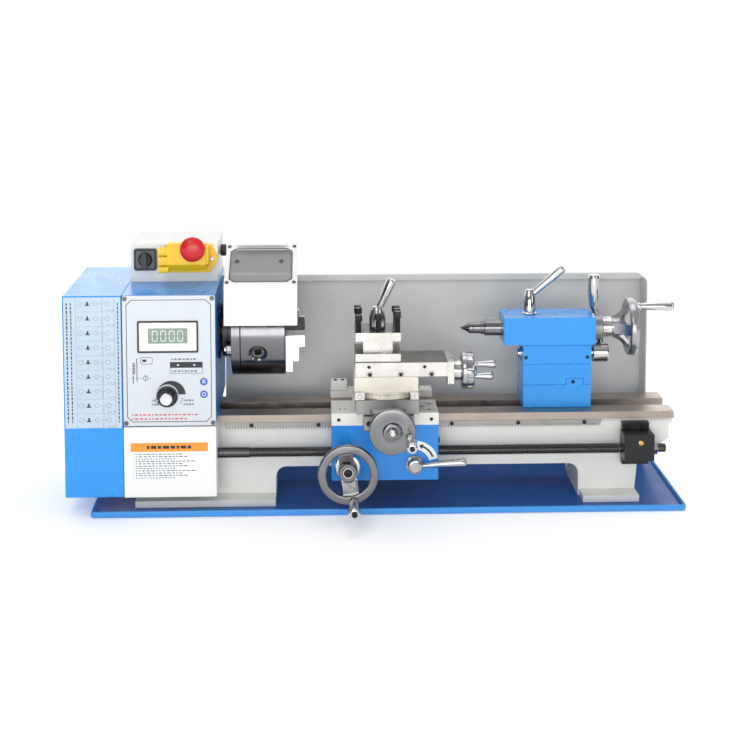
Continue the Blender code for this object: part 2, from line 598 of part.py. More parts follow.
def cross_feed():
    axis = (CROSS_X, CROSS_Z)
    bracket = block((-37, 33), (-103, SADDLE_FRONT - GAP), (115, 134.5))
    bore = drum("Y", axis, bore_radius(4, 16), (-120, -80), 16)
    solid("cross_feed_bracket", "cast_iron", [bracket], [bore])
    wheel = [(60, 0), (60, 4), (-103.5, 4), (-103.5, 12.8), (-124, 12.8), (-124, 9), (-153, 9), (-153, 31),
             (-155, 31.5), (-160, 31.5), (-162, 29.5), (-162, 12), (-170, 10), (-170, 0)]
    solid("cross_handwheel", "chrome", [turned(wheel, "Y", axis, 28)], origin=(CROSS_X, -158, CROSS_Z))
    crank_handle("cross_handle", "Y", (CROSS_X + 23, -162.3, CROSS_Z - 7), -52, 4, 6.3)


def compound():
    axis_origin = (SWIVEL_X, SWIVEL_Y, 170)
    swivel = drum("Z", (SWIVEL_X, SWIVEL_Y), 45, (155.4, 164), 48)
    base = block((-48.8, 39.3), (-84, -12), (163, 185))
    male = prism([(SWIVEL_Y - 15, 184), (SWIVEL_Y - 18, 191), (SWIVEL_Y + 18, 191), (SWIVEL_Y + 15, 184)], "X",
                 (-46, 38))
    screw_slot = block((-60, 60), (SWIVEL_Y - 5.5, SWIVEL_Y + 5.5), (COMPOUND_Z - 4.5, 200))
    solid("compound_base", "cream_paint", [swivel, base, male], [screw_slot], origin=axis_origin)
    slide = block((-47.6, 80), (-84, -12), (185.4, 205))
    female = prism([(SWIVEL_Y - 15.6, 183), (SWIVEL_Y - 18.6, 191.4), (SWIVEL_Y + 18.6, 191.4),
                    (SWIVEL_Y + 15.6, 183)], "X", (-60, 90))
    screw_way = block((-40, 90), (SWIVEL_Y - 5.5, SWIVEL_Y + 5.5), (180, 194))
    solid("top_slide", "ground_steel", [slide], [female, screw_way], origin=(POST_X, SWIVEL_Y, 195))
    axis = (SWIVEL_Y, COMPOUND_Z)
    bracket = block((80.3, 90), (-76, -20), (172, 204))
    bore = drum("X", axis, bore_radius(4, 16), (70, 100), 16)
    solid("top_slide_bracket", "cast_iron", [bracket], [bore], origin=(85, SWIVEL_Y, 188))
    profile = [(-30, 0), (-30, 4), (90.4, 4), (90.4, 14), (101, 14), (101, 24), (103, 26), (117, 26), (119, 24),
               (119, 8), (123, 7), (123, 0)]
    pins = []
    for side in (-1, 1):
        y, z = SWIVEL_Y + side * 14, COMPOUND_Z - side * 12
        pins.append(rod((117, y, z), (149, y, z), 3.6, 5.4, 16))
    solid("top_slide_handwheel", "chrome", [turned(profile, "X", axis, 28), *pins],
          origin=(110, SWIVEL_Y, COMPOUND_Z))


def tool_post():
    centre = (POST_X, SWIVEL_Y)
    half, core = 31.7, 21.3
    plates = [block((POST_X - half, POST_X + half), (SWIVEL_Y - half, SWIVEL_Y + half), span)
              for span in ((205.4, 216.5), (234, 246))]
    middle = block((POST_X - core, POST_X + core), (SWIVEL_Y - core, SWIVEL_Y + core), (215, 235))
    stud_hole = drum("Z", centre, bore_radius(6, 20), (200, 250), 20)
    solid("tool_post", "ground_steel", [plates[0], plates[1], middle], [stud_hole], origin=(*centre, 225))
    hub = turned([(207, 0), (207, 6), (246.4, 6), (246.4, 11.5), (264, 11.5), (275, 8), (277, 5), (277, 0)], "Z",
                 centre, 24)
    arm = rod((POST_X + 2, SWIVEL_Y, 266), (4.5, SWIVEL_Y, 315), 4, 5.6)
    solid("tool_post_lever", "chrome", [hub, arm], origin=(*centre, 260))


# ---------------------------------------------------------------- tailstock

def tailstock():
    left, right = 192.4, 289.4
    base_outline = [(left, BED_Z + GAP), (right, BED_Z + GAP), (right, 157), (278, 157), (278, 166), (254, 166),
                    (254, 157), (left, 157)]
    base = prism(base_outline, "Y", (-27, 40))
    bolt_hole = drum("Z", (240, 0), bore_radius(5, 16), (100, 180), 16)
    solid("tailstock_base", "blue_paint", [base], [bolt_hole])
    step = [(left, 157.4), (253.6, 157.4), (253.6, 166.4), (278.4, 166.4), (278.4, 157.4), (right, 157.4),
            (right, 217), (left, 217)]
    lower = prism(step, "Y", (-27, 30))
    upper = block((164.3, 294.6), (-32, 32), (216, 255))
    axis = (0, AXIS_Z)
    end_cap = drum("X", axis, 18.5, (290, 307.5), 32)
    cuts = [drum("X", axis, bore_radius(11.5, 32), (150, 280)),
            drum("X", axis, bore_radius(5, 16), (270, 320), 16),
            drum("X", (0, CLAMP_Z), bore_radius(6, 16), (180, 300), 16),
            drum("Z", (204.1, 0), bore_radius(4, 16), (243, 265), 16),
            drum("Z", (240, 0), bore_radius(5, 16), (150, 190), 16)]
    solid("tailstock_body", "blue_paint", [lower, upper, end_cap], cuts)


def quill():
    axis = (0, AXIS_Z)
    barrel = [(139.2, 7.6), (139.2, 11.5), (272, 11.5), (272, 5.6), (175, 5.6), (175, 7.6)]
    solid("quill", "ground_steel", [turned(barrel, "X", axis, 24)], origin=(200, 0, AXIS_Z))
    centre = [(104.2, 0), (116.8, 7), (116.8, 8.2), (134, 8.2), (134, 9.5), (138.8, 9.5), (138.8, 7.1), (172, 7.1),
              (172, 0)]
    solid("live_centre", "ground_steel", [turned(centre, "X", axis, 20)], origin=(120, 0, AXIS_Z))


def tailstock_wheel():
    axis = (0, AXIS_Z)
    shapes = spoked_wheel("X", axis, (344, 356, 321, 338), 13, 41, 3, 6.5, 60)
    shapes.append(drum("X", axis, 13, (308, 323), 32))
    shapes.append(drum("X", axis, 5, (200, 309), 16))
    solid("tailstock_handwheel", "chrome", shapes, origin=(340, 0, AXIS_Z))
    crank_handle("tailstock_handle", "X", (356.3, -14, AXIS_Z + 32), 53, 4.5, 7)


def tailstock_levers():
    hub = turned([(255.4, 0), (255.4, 8.6), (281.4, 8.6), (290, 5.6), (290, 0)], "Z", (204.1, 0), 24)
    stud = drum("Z", (204.1, 0), 4, (247, 256), 16)
    arm = rod((208, 0, 283), (252.5, 0, 321), 4.5, 5.9)
    solid("quill_lock_lever", "chrome", [hub, stud, arm], origin=(204.1, 0, 270))
    shaft = drum("X", (0, CLAMP_Z), 6, (187, 296), 16)
    boss = drum("X", (0, CLAMP_Z), 13.8, (295, 318), 32)
    arm = rod((309.5, 10, CLAMP_Z + 2), (310, 30, CLAMP_Z + 42), 4.5, 4.5)
    bend = rod((310, 30, CLAMP_Z + 41), (302, 33.2, CLAMP_Z + 58), 4.6, 4.6)
    neck = rod((302, 33.2, CLAMP_Z + 57), (303.3, 35, CLAMP_Z + 76), 5.2, 8.6)
    grip = rod((303.3, 35, CLAMP_Z + 75), (303.1, 35, CLAMP_Z + 106), 8.5, 8.4)
    solid("clamp_lever", "chrome", [shaft, boss, arm, bend, neck, grip], origin=(300, 0, CLAMP_Z))
    plate = block((218, 262), (-34, 34), (98, 103.4))
    bolt = drum("Z", (240, 0), 5, (102, 180), 16)
    solid("clamp_plate", "cast_iron", [plate, bolt], origin=(240, 0, 110))


# ---------------------------------------------------------------- build

def main():
    for old in list(bpy.data.objects):
        bpy.data.objects.remove(old, do_unlink=True)
    for make in (chip_tray, splash_guard, bed_casting, gear_rack, leadscrew_bracket, headstock_casting,
                 spindle_bearings, control_panel, front_cover, switch_box, switch_housing, drive_motor, drive_belt,
                 gear_cover, spindle, change_gears, motor_pulley, chuck, chuck_jaws, leadscrew, chuck_guard, knobs,
                 switch_lid, saddle, apron, apron_wheel, half_nut, cross_slide, cross_feed, compound, tool_post,
                 tailstock, quill, tailstock_wheel, tailstock_levers):
        make()


main()
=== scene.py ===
"""Looks for the bench lathe: materials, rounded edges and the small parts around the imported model.

X runs along the bed towards the tailstock, +Y away from the operator, +Z up. Sizes are in millimetres, and a
mesh is scaled to metres when it is made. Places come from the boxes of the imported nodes.
"""

import json
import math

import bmesh
import bpy
from mathutils import Matrix, Vector


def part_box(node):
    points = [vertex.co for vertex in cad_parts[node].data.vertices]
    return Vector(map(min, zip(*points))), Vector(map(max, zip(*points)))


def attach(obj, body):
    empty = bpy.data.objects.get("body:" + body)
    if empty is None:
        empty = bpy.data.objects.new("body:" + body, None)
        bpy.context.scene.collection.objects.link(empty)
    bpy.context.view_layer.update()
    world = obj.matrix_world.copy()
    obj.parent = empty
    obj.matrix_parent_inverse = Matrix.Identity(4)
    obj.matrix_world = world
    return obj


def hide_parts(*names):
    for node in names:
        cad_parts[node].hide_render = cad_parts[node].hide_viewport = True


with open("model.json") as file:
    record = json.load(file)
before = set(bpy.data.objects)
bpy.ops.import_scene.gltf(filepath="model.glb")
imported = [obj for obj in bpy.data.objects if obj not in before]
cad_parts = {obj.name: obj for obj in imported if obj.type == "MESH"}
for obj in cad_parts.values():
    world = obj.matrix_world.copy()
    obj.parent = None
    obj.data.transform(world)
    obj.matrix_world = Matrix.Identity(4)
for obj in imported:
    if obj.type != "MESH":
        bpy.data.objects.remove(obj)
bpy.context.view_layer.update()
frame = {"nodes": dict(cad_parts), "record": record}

MM = 0.001
NODES = frame["nodes"]
BODIES = frame["record"]["behaviour"]["bodies"]
BODY_OF = {node: body for body, members in BODIES.items() for node in members}
PLANES = {"X": (1, 2), "Y": (0, 2), "Z": (0, 1)}
AXIS_Z = 235.0                     # height of the spindle axis above the table
AXIS = (0, AXIS_Z)                 # the same axis as Y and Z
SWIVEL = (-4.5, -48)               # upright axis that the top slide swivels round, as X and Y
CLAMP_SHAFT = (0, 198)             # axis of the tailstock's clamp lever, as Y and Z
SUNK = 0.05                        # how far a print reaches into the layer behind it
LOOKS = {}                         # look name: (material, record slot)
REPLACED = set()                   # nodes that a piece stands for


def span(node):
    """The node's extent at rest, in millimetres: three (low, high) pairs."""
    low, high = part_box(node)
    return [(round(a / MM, 3), round(b / MM, 3)) for a, b in zip(low, high)]


def middle_of(node, axis):
    """The middle of the node's extent across axis."""
    return tuple(sum(span(node)[k]) / 2 for k in PLANES[axis])


# ---------------------------------------------------------------- materials

def tone(red, green, blue):
    """A screen colour as the linear values that shaders read."""
    values = [c / 255 for c in (red, green, blue)]
    return [c / 12.92 if c <= 0.04045 else ((c + 0.055) / 1.055) ** 2.4 for c in values] + [1.0]


def ring_place(tree, place, axis, centre):
    """Coordinates that only change along an axis and away from it, so marks run round it."""
    along = "XYZ".index(axis)
    first, second = PLANES[axis]
    offset = [0.0] * 3
    offset[first], offset[second] = centre[0] * MM, centre[1] * MM
    mask = [1.0] * 3
    mask[along] = 0.0

    def vector_step(operation, source, second_value=None):
        node = tree.nodes.new("ShaderNodeVectorMath")
        node.operation = operation
        tree.links.new(source, node.inputs[0])
        if second_value is not None:
            node.inputs[1].default_value = second_value
        return node.outputs

    shifted = vector_step("SUBTRACT", place, offset)[0]
    flat = vector_step("MULTIPLY", shifted, mask)[0]
    length = vector_step("LENGTH", flat)["Value"]
    apart = tree.nodes.new("ShaderNodeSeparateXYZ")
    joined = tree.nodes.new("ShaderNodeCombineXYZ")
    tree.links.new(place, apart.inputs[0])
    tree.links.new(apart.outputs[along], joined.inputs[0])
    tree.links.new(length, joined.inputs[1])
    return joined.outputs[0]


def look(name, slot, colour, roughness, metallic, vary, wander, bumps, rings=None, coat=0.0, alpha=1.0,
         blotch=14.0):
    """A material with uneven colour and roughness. bumps are (marks per metre along X, Y, Z, depth in mm)."""
    material = bpy.data.materials.new(name)
    material.use_nodes = True
    tree = material.node_tree
    shader = tree.nodes["Principled BSDF"]
    place = tree.nodes.new("ShaderNodeTexCoord").outputs["Object"]
    marks = ring_place(tree, place, *rings) if rings else place

    def noise(source, scales, detail):
        mapping = tree.nodes.new("ShaderNodeMapping")
        mapping.inputs["Scale"].default_value = scales
        texture = tree.nodes.new("ShaderNodeTexNoise")
        texture.inputs["Scale"].default_value = 1.0
        texture.inputs["Detail"].default_value = detail
        tree.links.new(source, mapping.inputs["Vector"])
        tree.links.new(mapping.outputs["Vector"], texture.inputs["Vector"])
        return texture.outputs["Fac"]

    def spread(scale, detail, low=0.0, high=1.0):
        """Cloudy noise whose middle range is stretched from low to high."""
        stretch = tree.nodes.new("ShaderNodeMapRange")
        values = {"From Min": 0.3, "From Max": 0.7, "To Min": low, "To Max": high}
        for key, value in values.items():
            stretch.inputs[key].default_value = value
        tree.links.new(noise(place, (scale,) * 3, detail), stretch.inputs["Value"])
        return stretch.outputs["Result"]

    mix = tree.nodes.new("ShaderNodeMix")
    mix.data_type = "RGBA"
    shades = [[min(1.0, c * k) for c in colour[:3]] + [1.0] for k in (1 - vary, 1 + vary)]
    mix.inputs[6].default_value, mix.inputs[7].default_value = shades
    tree.links.new(spread(blotch, 6.0), mix.inputs[0])
    tree.links.new(mix.outputs[2], shader.inputs["Base Color"])
    wear = spread(45.0, 4.0, max(0.02, roughness - wander), min(1.0, roughness + wander))
    tree.links.new(wear, shader.inputs["Roughness"])
    normal = None
    for x, y, z, depth in bumps:
        bump = tree.nodes.new("ShaderNodeBump")
        bump.inputs["Distance"].default_value = depth * MM
        tree.links.new(noise(marks, (x, y, z), 3.0), bump.inputs["Height"])
        if normal is not None:
            tree.links.new(normal, bump.inputs["Normal"])
        normal = bump.outputs["Normal"]
    tree.links.new(normal, shader.inputs["Normal"])
    settings = {"Metallic": metallic, "Coat Weight": coat, "Coat Roughness": 0.08, "Alpha": alpha}
    for key, value in settings.items():
        shader.inputs[key].default_value = value
    LOOKS[name] = (material, slot)


def turned_look(name, slot, axis, centre, colour, roughness, depth=0.012):
    """Lathe-turned metal: fine marks run round the piece's own axis."""
    look(name, slot, tone(*colour), roughness, 1.0, 0.06, 0.07,
         [(900, 900, 1, depth), (260, 260, 1, depth * 1.5)], rings=(axis, centre))


def even(marks, depth):
    """Marks of one size in every direction."""
    return (marks, marks, marks, depth)


def coated(name, slot, colour, roughness, vary, wander, *bumps, **more):
    """Paint, plastic, rubber or print."""
    look(name, slot, tone(*colour), roughness, 0.0, vary, wander, bumps, **more)


def metal(name, slot, colour, roughness, vary, wander, *bumps, **more):
    """Bare or plated metal."""
    look(name, slot, tone(*colour), roughness, 1.0, vary, wander, bumps, **more)


def make_looks():
    """The looks that several pieces can share."""
    peel, cast, dents, pits = even(330, 0.02), even(140, 0.10), even(12, 0.2), even(25, 0.02)
    coated("blue_enamel", "blue_paint", (16, 146, 232), 0.3, 0.03, 0.05, peel, even(40, 0.02), coat=0.3)
    coated("blue_cast", "blue_paint", (12, 134, 222), 0.34, 0.05, 0.07, peel, cast, coat=0.25)
    # the tray's one blue paint as two copies: a lighter one as painted highlight, a darker one as painted
    # shade
    coated("lit_tray_paint", "tray_paint", (58, 144, 220), 0.46, 0.04, 0.05, peel, pits, coat=0.05)
    coated("shaded_tray_paint", "tray_paint", (14, 84, 164), 0.42, 0.04, 0.06, peel, pits, coat=0.1)
    coated("bed_paint", "grey_paint", (232, 232, 227), 0.42, 0.05, 0.08, peel, even(110, 0.12))
    # grey sheet paint: the splash guard's own colour, and also used as painted shade on the switch box's top
    coated("grey_sheet_and_painted_shade", "grey_paint", (208, 208, 205), 0.36, 0.05, 0.07, peel, even(9, 0.5), coat=0.15)
    coated("cream_sheet", "cream_paint", (240, 241, 236), 0.4, 0.02, 0.05, peel, dents)
    coated("white_sheet", "white_paint", (238, 239, 238), 0.36, 0.02, 0.05, peel, dents)
    metal("ground_lengthwise", "ground_steel", (164, 153, 144), 0.36, 0.10, 0.09,
          (18, 950, 950, 0.014), (6, 260, 260, 0.02), blotch=30.0)
    metal("milled", "ground_steel", (206, 203, 198), 0.27, 0.08, 0.09,
          (40, 700, 700, 0.012), (300, 30, 30, 0.012), blotch=40.0)
    metal("machined_iron", "cast_iron", (150, 149, 147), 0.42, 0.12, 0.1, even(60, 0.05), even(500, 0.02))
    # dark ground steel: the real colour of some screws, and also painted shade and painted reflection on top
    # faces and the upper jaw
    metal("dark_ground_and_painted_shade", "ground_steel", (104, 102, 99), 0.34, 0.1, 0.1, (30, 400, 400, 0.015))
    look("warm_iron", "cream_paint", tone(226, 220, 208), 0.4, 0.35, 0.07, 0.1, [(60, 500, 500, 0.02), cast])
    metal("chrome_plate", "chrome", (202, 202, 203), 0.11, 0.02, 0.05, even(35, 0.02))
    metal("lever_chrome", "chrome", (196, 196, 197), 0.13, 0.03, 0.06, even(35, 0.03), even(420, 0.004))
    metal("bright_steel", "ground_steel", (214, 213, 211), 0.2, 0.05, 0.08, even(400, 0.01))
    look("black_oxide", "black_steel", tone(38, 38, 40), 0.34, 0.55, 0.15, 0.1, [even(350, 0.02)])
    coated("black_moulded", "black_plastic", (34, 35, 37), 0.38, 0.1, 0.08, even(420, 0.03))
    coated("grey_moulded", "black_plastic", (96, 98, 101), 0.45, 0.06, 0.08, even(420, 0.03))
    coated("yellow_moulded", "yellow_plastic", (255, 203, 6), 0.34, 0.03, 0.06, even(300, 0.015))
    coated("red_moulded", "red_plastic", (206, 24, 28), 0.3, 0.04, 0.05, even(300, 0.012))
    look("silver_film", "panel", tone(204, 209, 216), 0.4, 0.2, 0.02, 0.05, [even(500, 0.008)])
    inks = {
        "print_black": ((36, 38, 44), 0.45, 0.08, 0.06), "print_grey": ((122, 130, 142), 0.5, 0.06, 0.05),
        "print_blue": ((44, 84, 190), 0.4, 0.05, 0.05), "print_red": ((205, 84, 96), 0.5, 0.06, 0.05),
    }
    for name, values in inks.items():
        coated(name, "panel", *values, even(500, 0.005))
    films = {
        "print_white": ((240, 243, 246), 0.38, 0.02, 0.05),
        "print_pale_blue": ((188, 206, 222), 0.35, 0.02, 0.05),
        "print_orange": ((246, 152, 44), 0.4, 0.04, 0.05),
    }
    for name, values in films.items():
        coated(name, "panel", *values, even(400, 0.006))
    coated("liquid_crystal", "panel", (134, 152, 138), 0.12, 0.12, 0.04, even(30, 0.01), coat=0.8,
           blotch=60.0)
    coated("clear_window", "clear_plastic", (150, 151, 153), 0.08, 0.1, 0.03, even(10, 0.1), alpha=0.72,
           blotch=9.0)
    metal("brass_turned", "brass", (205, 168, 92), 0.28, 0.08, 0.07, even(300, 0.01))
    coated("rubber", "belt_rubber", (34, 34, 35), 0.75, 0.1, 0.1, even(500, 0.05))
    turned_look("chuck_steel", "ground_steel", "X", AXIS, (118, 118, 121), 0.19, 0.008)
    turned_look("quill_steel", "ground_steel", "X", AXIS, (132, 132, 134), 0.2)


# ---------------------------------------------------------------- shapes

def block(x, y, z):
    """A box from (low, high) pairs."""
    vertices = [(a, b, c) for a in x for b in y for c in z]
    faces = [(0, 1, 3, 2), (4, 6, 7, 5), (0, 4, 5, 1), (2, 3, 7, 6), (0, 2, 6, 4), (1, 5, 7, 3)]
    return vertices, faces


def placed(axis, level, a, b):
    """A point from its place along axis and its two other coordinates, in X, Y, Z order."""
    point = [0.0, 0.0, 0.0]
    first, second = PLANES[axis]
    point["XYZ".index(axis)], point[first], point[second] = level, a, b
    return tuple(point)


def lofted(rings, closed=False):
    """A solid through rings of the same number of points; closed joins the last ring to the first."""
    count = len(rings[0])
    vertices = [point for ring in rings for point in ring]
    last = len(rings) - (0 if closed else 1)
    faces = []
    for r in range(last):
        low, high = r * count, (r + 1) % len(rings) * count
        for i in range(count):
            j = (i + 1) % count
            faces.append((low + i, low + j, high + j, high + i))
    if not closed:
        faces += [tuple(range(count)), tuple(range((len(rings) - 1) * count, len(rings) * count))]
    return vertices, faces


def prism(outline, axis, reach):
    """An outline extruded along axis."""
    return lofted([[placed(axis, level, a, b) for a, b in outline] for level in reach])


def hoop(outer, inner, axis, reach):
    """A flat band between two outlines with the same number of points."""
    near, far = reach
    loops = [(outer, near), (outer, far), (inner, far), (inner, near)]
    return lofted([[placed(axis, level, a, b) for a, b in line] for line, level in loops], closed=True)


def circle(centre, radius, count=64, first=0.0, last=360.0):
    """Points round a circle, or along an arc that keeps both its ends."""
    whole = abs(last - first) == 360.0
    steps = count if whole else count - 1
    angles = [math.radians(first + (last - first) * k / steps) for k in range(count)]
    return [(centre[0] + radius * math.cos(a), centre[1] + radius * math.sin(a)) for a in angles]


def around(centre, radius, count, shift=0.0):
    """Evenly spaced points round a circle, from a part of one step on."""
    angles = [2 * math.pi * (k + shift) / count for k in range(count)]
    return [(centre[0] + radius * math.cos(a), centre[1] + radius * math.sin(a)) for a in angles]


def rounded(a, b, radius, steps=6):
    """A rectangle with round corners."""
    corners = [(a[1] - radius, b[1] - radius, 0), (a[0] + radius, b[1] - radius, 90),
               (a[0] + radius, b[0] + radius, 180), (a[1] - radius, b[0] + radius, 270)]
    return [p for x, y, start in corners for p in circle((x, y), radius, steps, start, start + 90)]


def square(centre, half, radius, steps=6):
    """A square outline with round corners."""
    return rounded(*[(c - half, c + half) for c in centre], radius, steps)


def chamfered(a, b, cut):
    """A rectangle with its corners cut off."""
    left, right, low, high = a[0] + cut, a[1] - cut, b[0] + cut, b[1] - cut
    return [(left, b[0]), (right, b[0]), (a[1], low), (a[1], high), (right, b[1]), (left, b[1]), (a[0], high),
            (a[0], low)]


def turned(profile, axis, centre, sides=64):
    """A closed (along, radius) profile turned about axis through centre; radius 0 closes it."""
    vertices, rings = [], []
    for level, radius in profile:
        ring = []
        for a, b in circle(centre, radius, sides) if radius else [centre]:
            ring.append(len(vertices))
            vertices.append(placed(axis, level, a, b))
        rings.append(ring)
    faces = []
    for low, high in zip(rings, rings[1:] + rings[:1]):
        if len(low) == 1 and len(high) == 1:
            continue
        for k in range(sides):
            after = k + 1
            corners = (low[k % len(low)], low[after % len(low)], high[after % len(high)], high[k % len(high)])
            faces.append(tuple(dict.fromkeys(corners)))
    return vertices, faces


def drum(axis, centre, radius, reach, sides=48):
    """A round bar along axis."""
    low, high = reach
    return turned([(low, 0), (low, radius), (high, radius), (high, 0)], axis, centre, sides)


def tube(axis, centre, outer, inner, reach, sides=64):
    """A pipe or washer along axis."""
    low, high = reach
    return turned([(low, inner), (low, outer), (high, outer), (high, inner)], axis, centre, sides)


def swept(path, radii, sides=28):
    """A round bar through points, with a radius at each; its ends are flat."""
    points = [Vector(p) for p in path]
    aside = Vector((0.3, 1.0, 0.2))    # any direction that no bar runs along
    rings = []
    for i, point in enumerate(points):
        ahead = (points[min(i + 1, len(points) - 1)] - points[max(i - 1, 0)]).normalized()
        side = ahead.cross(aside).normalized()
        up = ahead.cross(side)
        rings.append([tuple(point + (side * c + up * s) * radii[i]) for c, s in circle((0, 0), 1.0, sides)])
    return lofted(rings)


def turn(shape, axis, centre, degrees):
    """The shape turned about a line parallel to axis through centre."""
    pivot = Vector(placed(axis, 0, *centre))
    direction = Vector([1.0 if letter == axis else 0.0 for letter in "XYZ"])
    spin = Matrix.Rotation(math.radians(degrees), 3, direction)
    return [tuple(spin @ (Vector(v) - pivot) + pivot) for v in shape[0]], shape[1]


def screw_head(tip, axis, direction, radius, height, socket=0.55, depth=0.6, sides=24):
    """A socket-headed screw: tip is the middle of its seat and direction the way its head points."""
    first, second = PLANES[axis]
    base = tip["XYZ".index(axis)]
    top = base + direction * height
    edge = min(0.12 * radius, 0.5)
    sixth = math.pi / 3

    def ring(level, size, hexagonal=False):
        points = []
        for k in range(sides):
            angle = 2 * math.pi * k / sides
            reach = size
            if hexagonal:
                reach = size * math.cos(sixth / 2) / math.cos((angle % sixth) - sixth / 2)
            a, b = tip[first] + reach * math.cos(angle), tip[second] + reach * math.sin(angle)
            points.append(placed(axis, level, a, b))
        return points

    floor = top - direction * height * depth
    return lofted([ring(base, radius), ring(top - direction * edge, radius), ring(top, radius - edge),
                   ring(top, radius * socket, True), ring(floor, radius * socket, True)])


# ---------------------------------------------------------------- pieces

def link(thing):
    """Puts an object in the scene."""
    bpy.context.scene.collection.objects.link(thing)
    return thing


def mesh_of(name, shapes):
    """One mesh that holds the shapes as separate closed bodies."""
    build = bmesh.new()
    for vertices, faces in shapes:
        made = [build.verts.new([c * MM for c in v]) for v in vertices]
        for face in faces:
            build.faces.new([made[i] for i in face])
    bmesh.ops.recalc_face_normals(build, faces=build.faces)
    mesh = bpy.data.meshes.new(name)
    build.to_mesh(mesh)
    build.free()
    return mesh


def tidied(mesh):
    """Merges doubled points and flat neighbouring faces."""
    doubled, flat = 2e-6, math.radians(0.6)
    build = bmesh.new()
    build.from_mesh(mesh)
    bmesh.ops.remove_doubles(build, verts=build.verts, dist=doubled)
    bmesh.ops.dissolve_limit(build, angle_limit=flat, verts=build.verts, edges=build.edges)
    build.to_mesh(mesh)
    build.free()
    return mesh


def fused(name, shapes, cuts=()):
    """One closed mesh: the shapes joined and the cuts taken out of them. A shape may be a mesh of its own."""
    def solid(shape):
        return shape if isinstance(shape, bpy.types.Mesh) else mesh_of(name, [shape])

    body = link(bpy.data.objects.new(name, solid(shapes[0])))
    tools = []
    for operation, operands in (("UNION", shapes[1:]), ("DIFFERENCE", cuts)):
        for shape in operands:
            tool = link(bpy.data.objects.new("tool", solid(shape)))
            step = body.modifiers.new(operation, "BOOLEAN")
            step.operation = operation
            step.object = tool
            tools.append(tool)
    mesh = bpy.data.meshes.new_from_object(body.evaluated_get(bpy.context.evaluated_depsgraph_get()))
    for thing in (body, *tools):
        bpy.data.objects.remove(thing)
    mesh.name = name
    return tidied(mesh)


def show(name, body, style, mesh, stands_for=(), bevel=0.4, segments=2, sharp=32.0):
    """Puts a mesh in the scene as a piece that moves with a body."""
    material, slot = LOOKS[style]
    mesh.materials.clear()
    mesh.materials.append(material)
    mesh.shade_smooth()
    thing = link(bpy.data.objects.new(name, mesh))
    if bevel:
        edge = thing.modifiers.new("edges", "BEVEL")
        edge.width = bevel * MM
        edge.segments = segments
        edge.limit_method = "ANGLE"
        edge.angle_limit = math.radians(sharp)
        edge.harden_normals = True
        edge.miter_outer = "MITER_ARC"
    else:
        mesh.set_sharp_from_angle(angle=math.radians(sharp))
    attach(thing, body)
    if stands_for:
        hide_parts(*stands_for)
        REPLACED.update(stands_for)
    return thing


def piece(name, body, style, shapes, cuts=(), stands_for=(), bevel=0.4, segments=2, sharp=32.0):
    """A piece whose shapes are fused into one body."""
    return show(name, body, style, fused(name, shapes, cuts), stands_for, bevel, segments, sharp)


def group(name, body, style, shapes, stands_for=(), bevel=0, sharp=32.0):
    """A piece that is a group of separate small parts."""
    return show(name, body, style, mesh_of(name, shapes), stands_for, bevel, 2, sharp)


def copied(node):
    """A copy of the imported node's mesh, with whole flat faces."""
    mesh = NODES[node].data.copy()
    for name in [a.name for a in mesh.attributes if a.name.startswith(("sharp", "custom", "UV"))]:
        mesh.attributes.remove(mesh.attributes[name])
    return tidied(mesh)


def refined(node, style, bevel=0.8, segments=2, cuts=()):
    """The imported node's own shape with rounded edges and small cuts."""
    mesh = copied(node)
    if cuts:
        mesh = fused(node, [mesh], cuts)
    return show(f"{node}_surface", BODY_OF[node], style, mesh, [node], bevel, segments)


def paint_faces(thing, style, test):
    """Gives another look to the faces whose middle and normal pass the test, in millimetres."""
    thing.data.materials.append(LOOKS[style][0])
    index = len(thing.data.materials) - 1
    for face in thing.data.polygons:
        if test(face.center / MM, face.normal):
            face.material_index = index


def screws(name, body, style, seats, axis, direction, radius, height, **detail):
    """A group of equal socket screws."""
    heads = [screw_head(seat, axis, direction, radius, height, **detail) for seat in seats]
    return group(name, body, style, heads)


# ---------------------------------------------------------------- tray, bed, guards

def tray():
    """A shallow pan with a rolled lip, in two copies of its one blue paint: a lighter one as painted
    highlight, a darker one inside as painted shade.
    """
    (x0, x1), (y0, y1), (z0, z1) = span("chip_tray")

    def ring(inset, z, radius):
        return [(a, b, z) for a, b in rounded((x0 + inset, x1 - inset), (y0 + inset, y1 - inset), radius)]

    rings = [ring(2.0, z0, 4), ring(0.6, z0 + 0.5, 5), ring(0, z0 + 2, 6), ring(0, z1 - 2, 6)]
    for degrees in range(30, 181, 30):
        lip = math.radians(degrees)
        rings.append(ring(1.75 - 1.75 * math.cos(lip), z1 - 1.7 + 1.7 * math.sin(lip), 5))
    rings += [ring(3.5, 4.2, 3), ring(4.2, 2.7, 3), ring(6, 2.0, 2)]
    pan = piece("tray_pan", "frame", "shaded_tray_paint", [lofted(rings)], (), ["chip_tray"], 0, sharp=50)
    # painted light: the lip and the front- and right-facing faces get the lighter blue as painted highlight,
    # and the rest keeps the darker blue as painted shade
    paint_faces(pan, "lit_tray_paint", lambda c, n: c.z > 5 or n.y < -0.5 or n.x > 0.5)


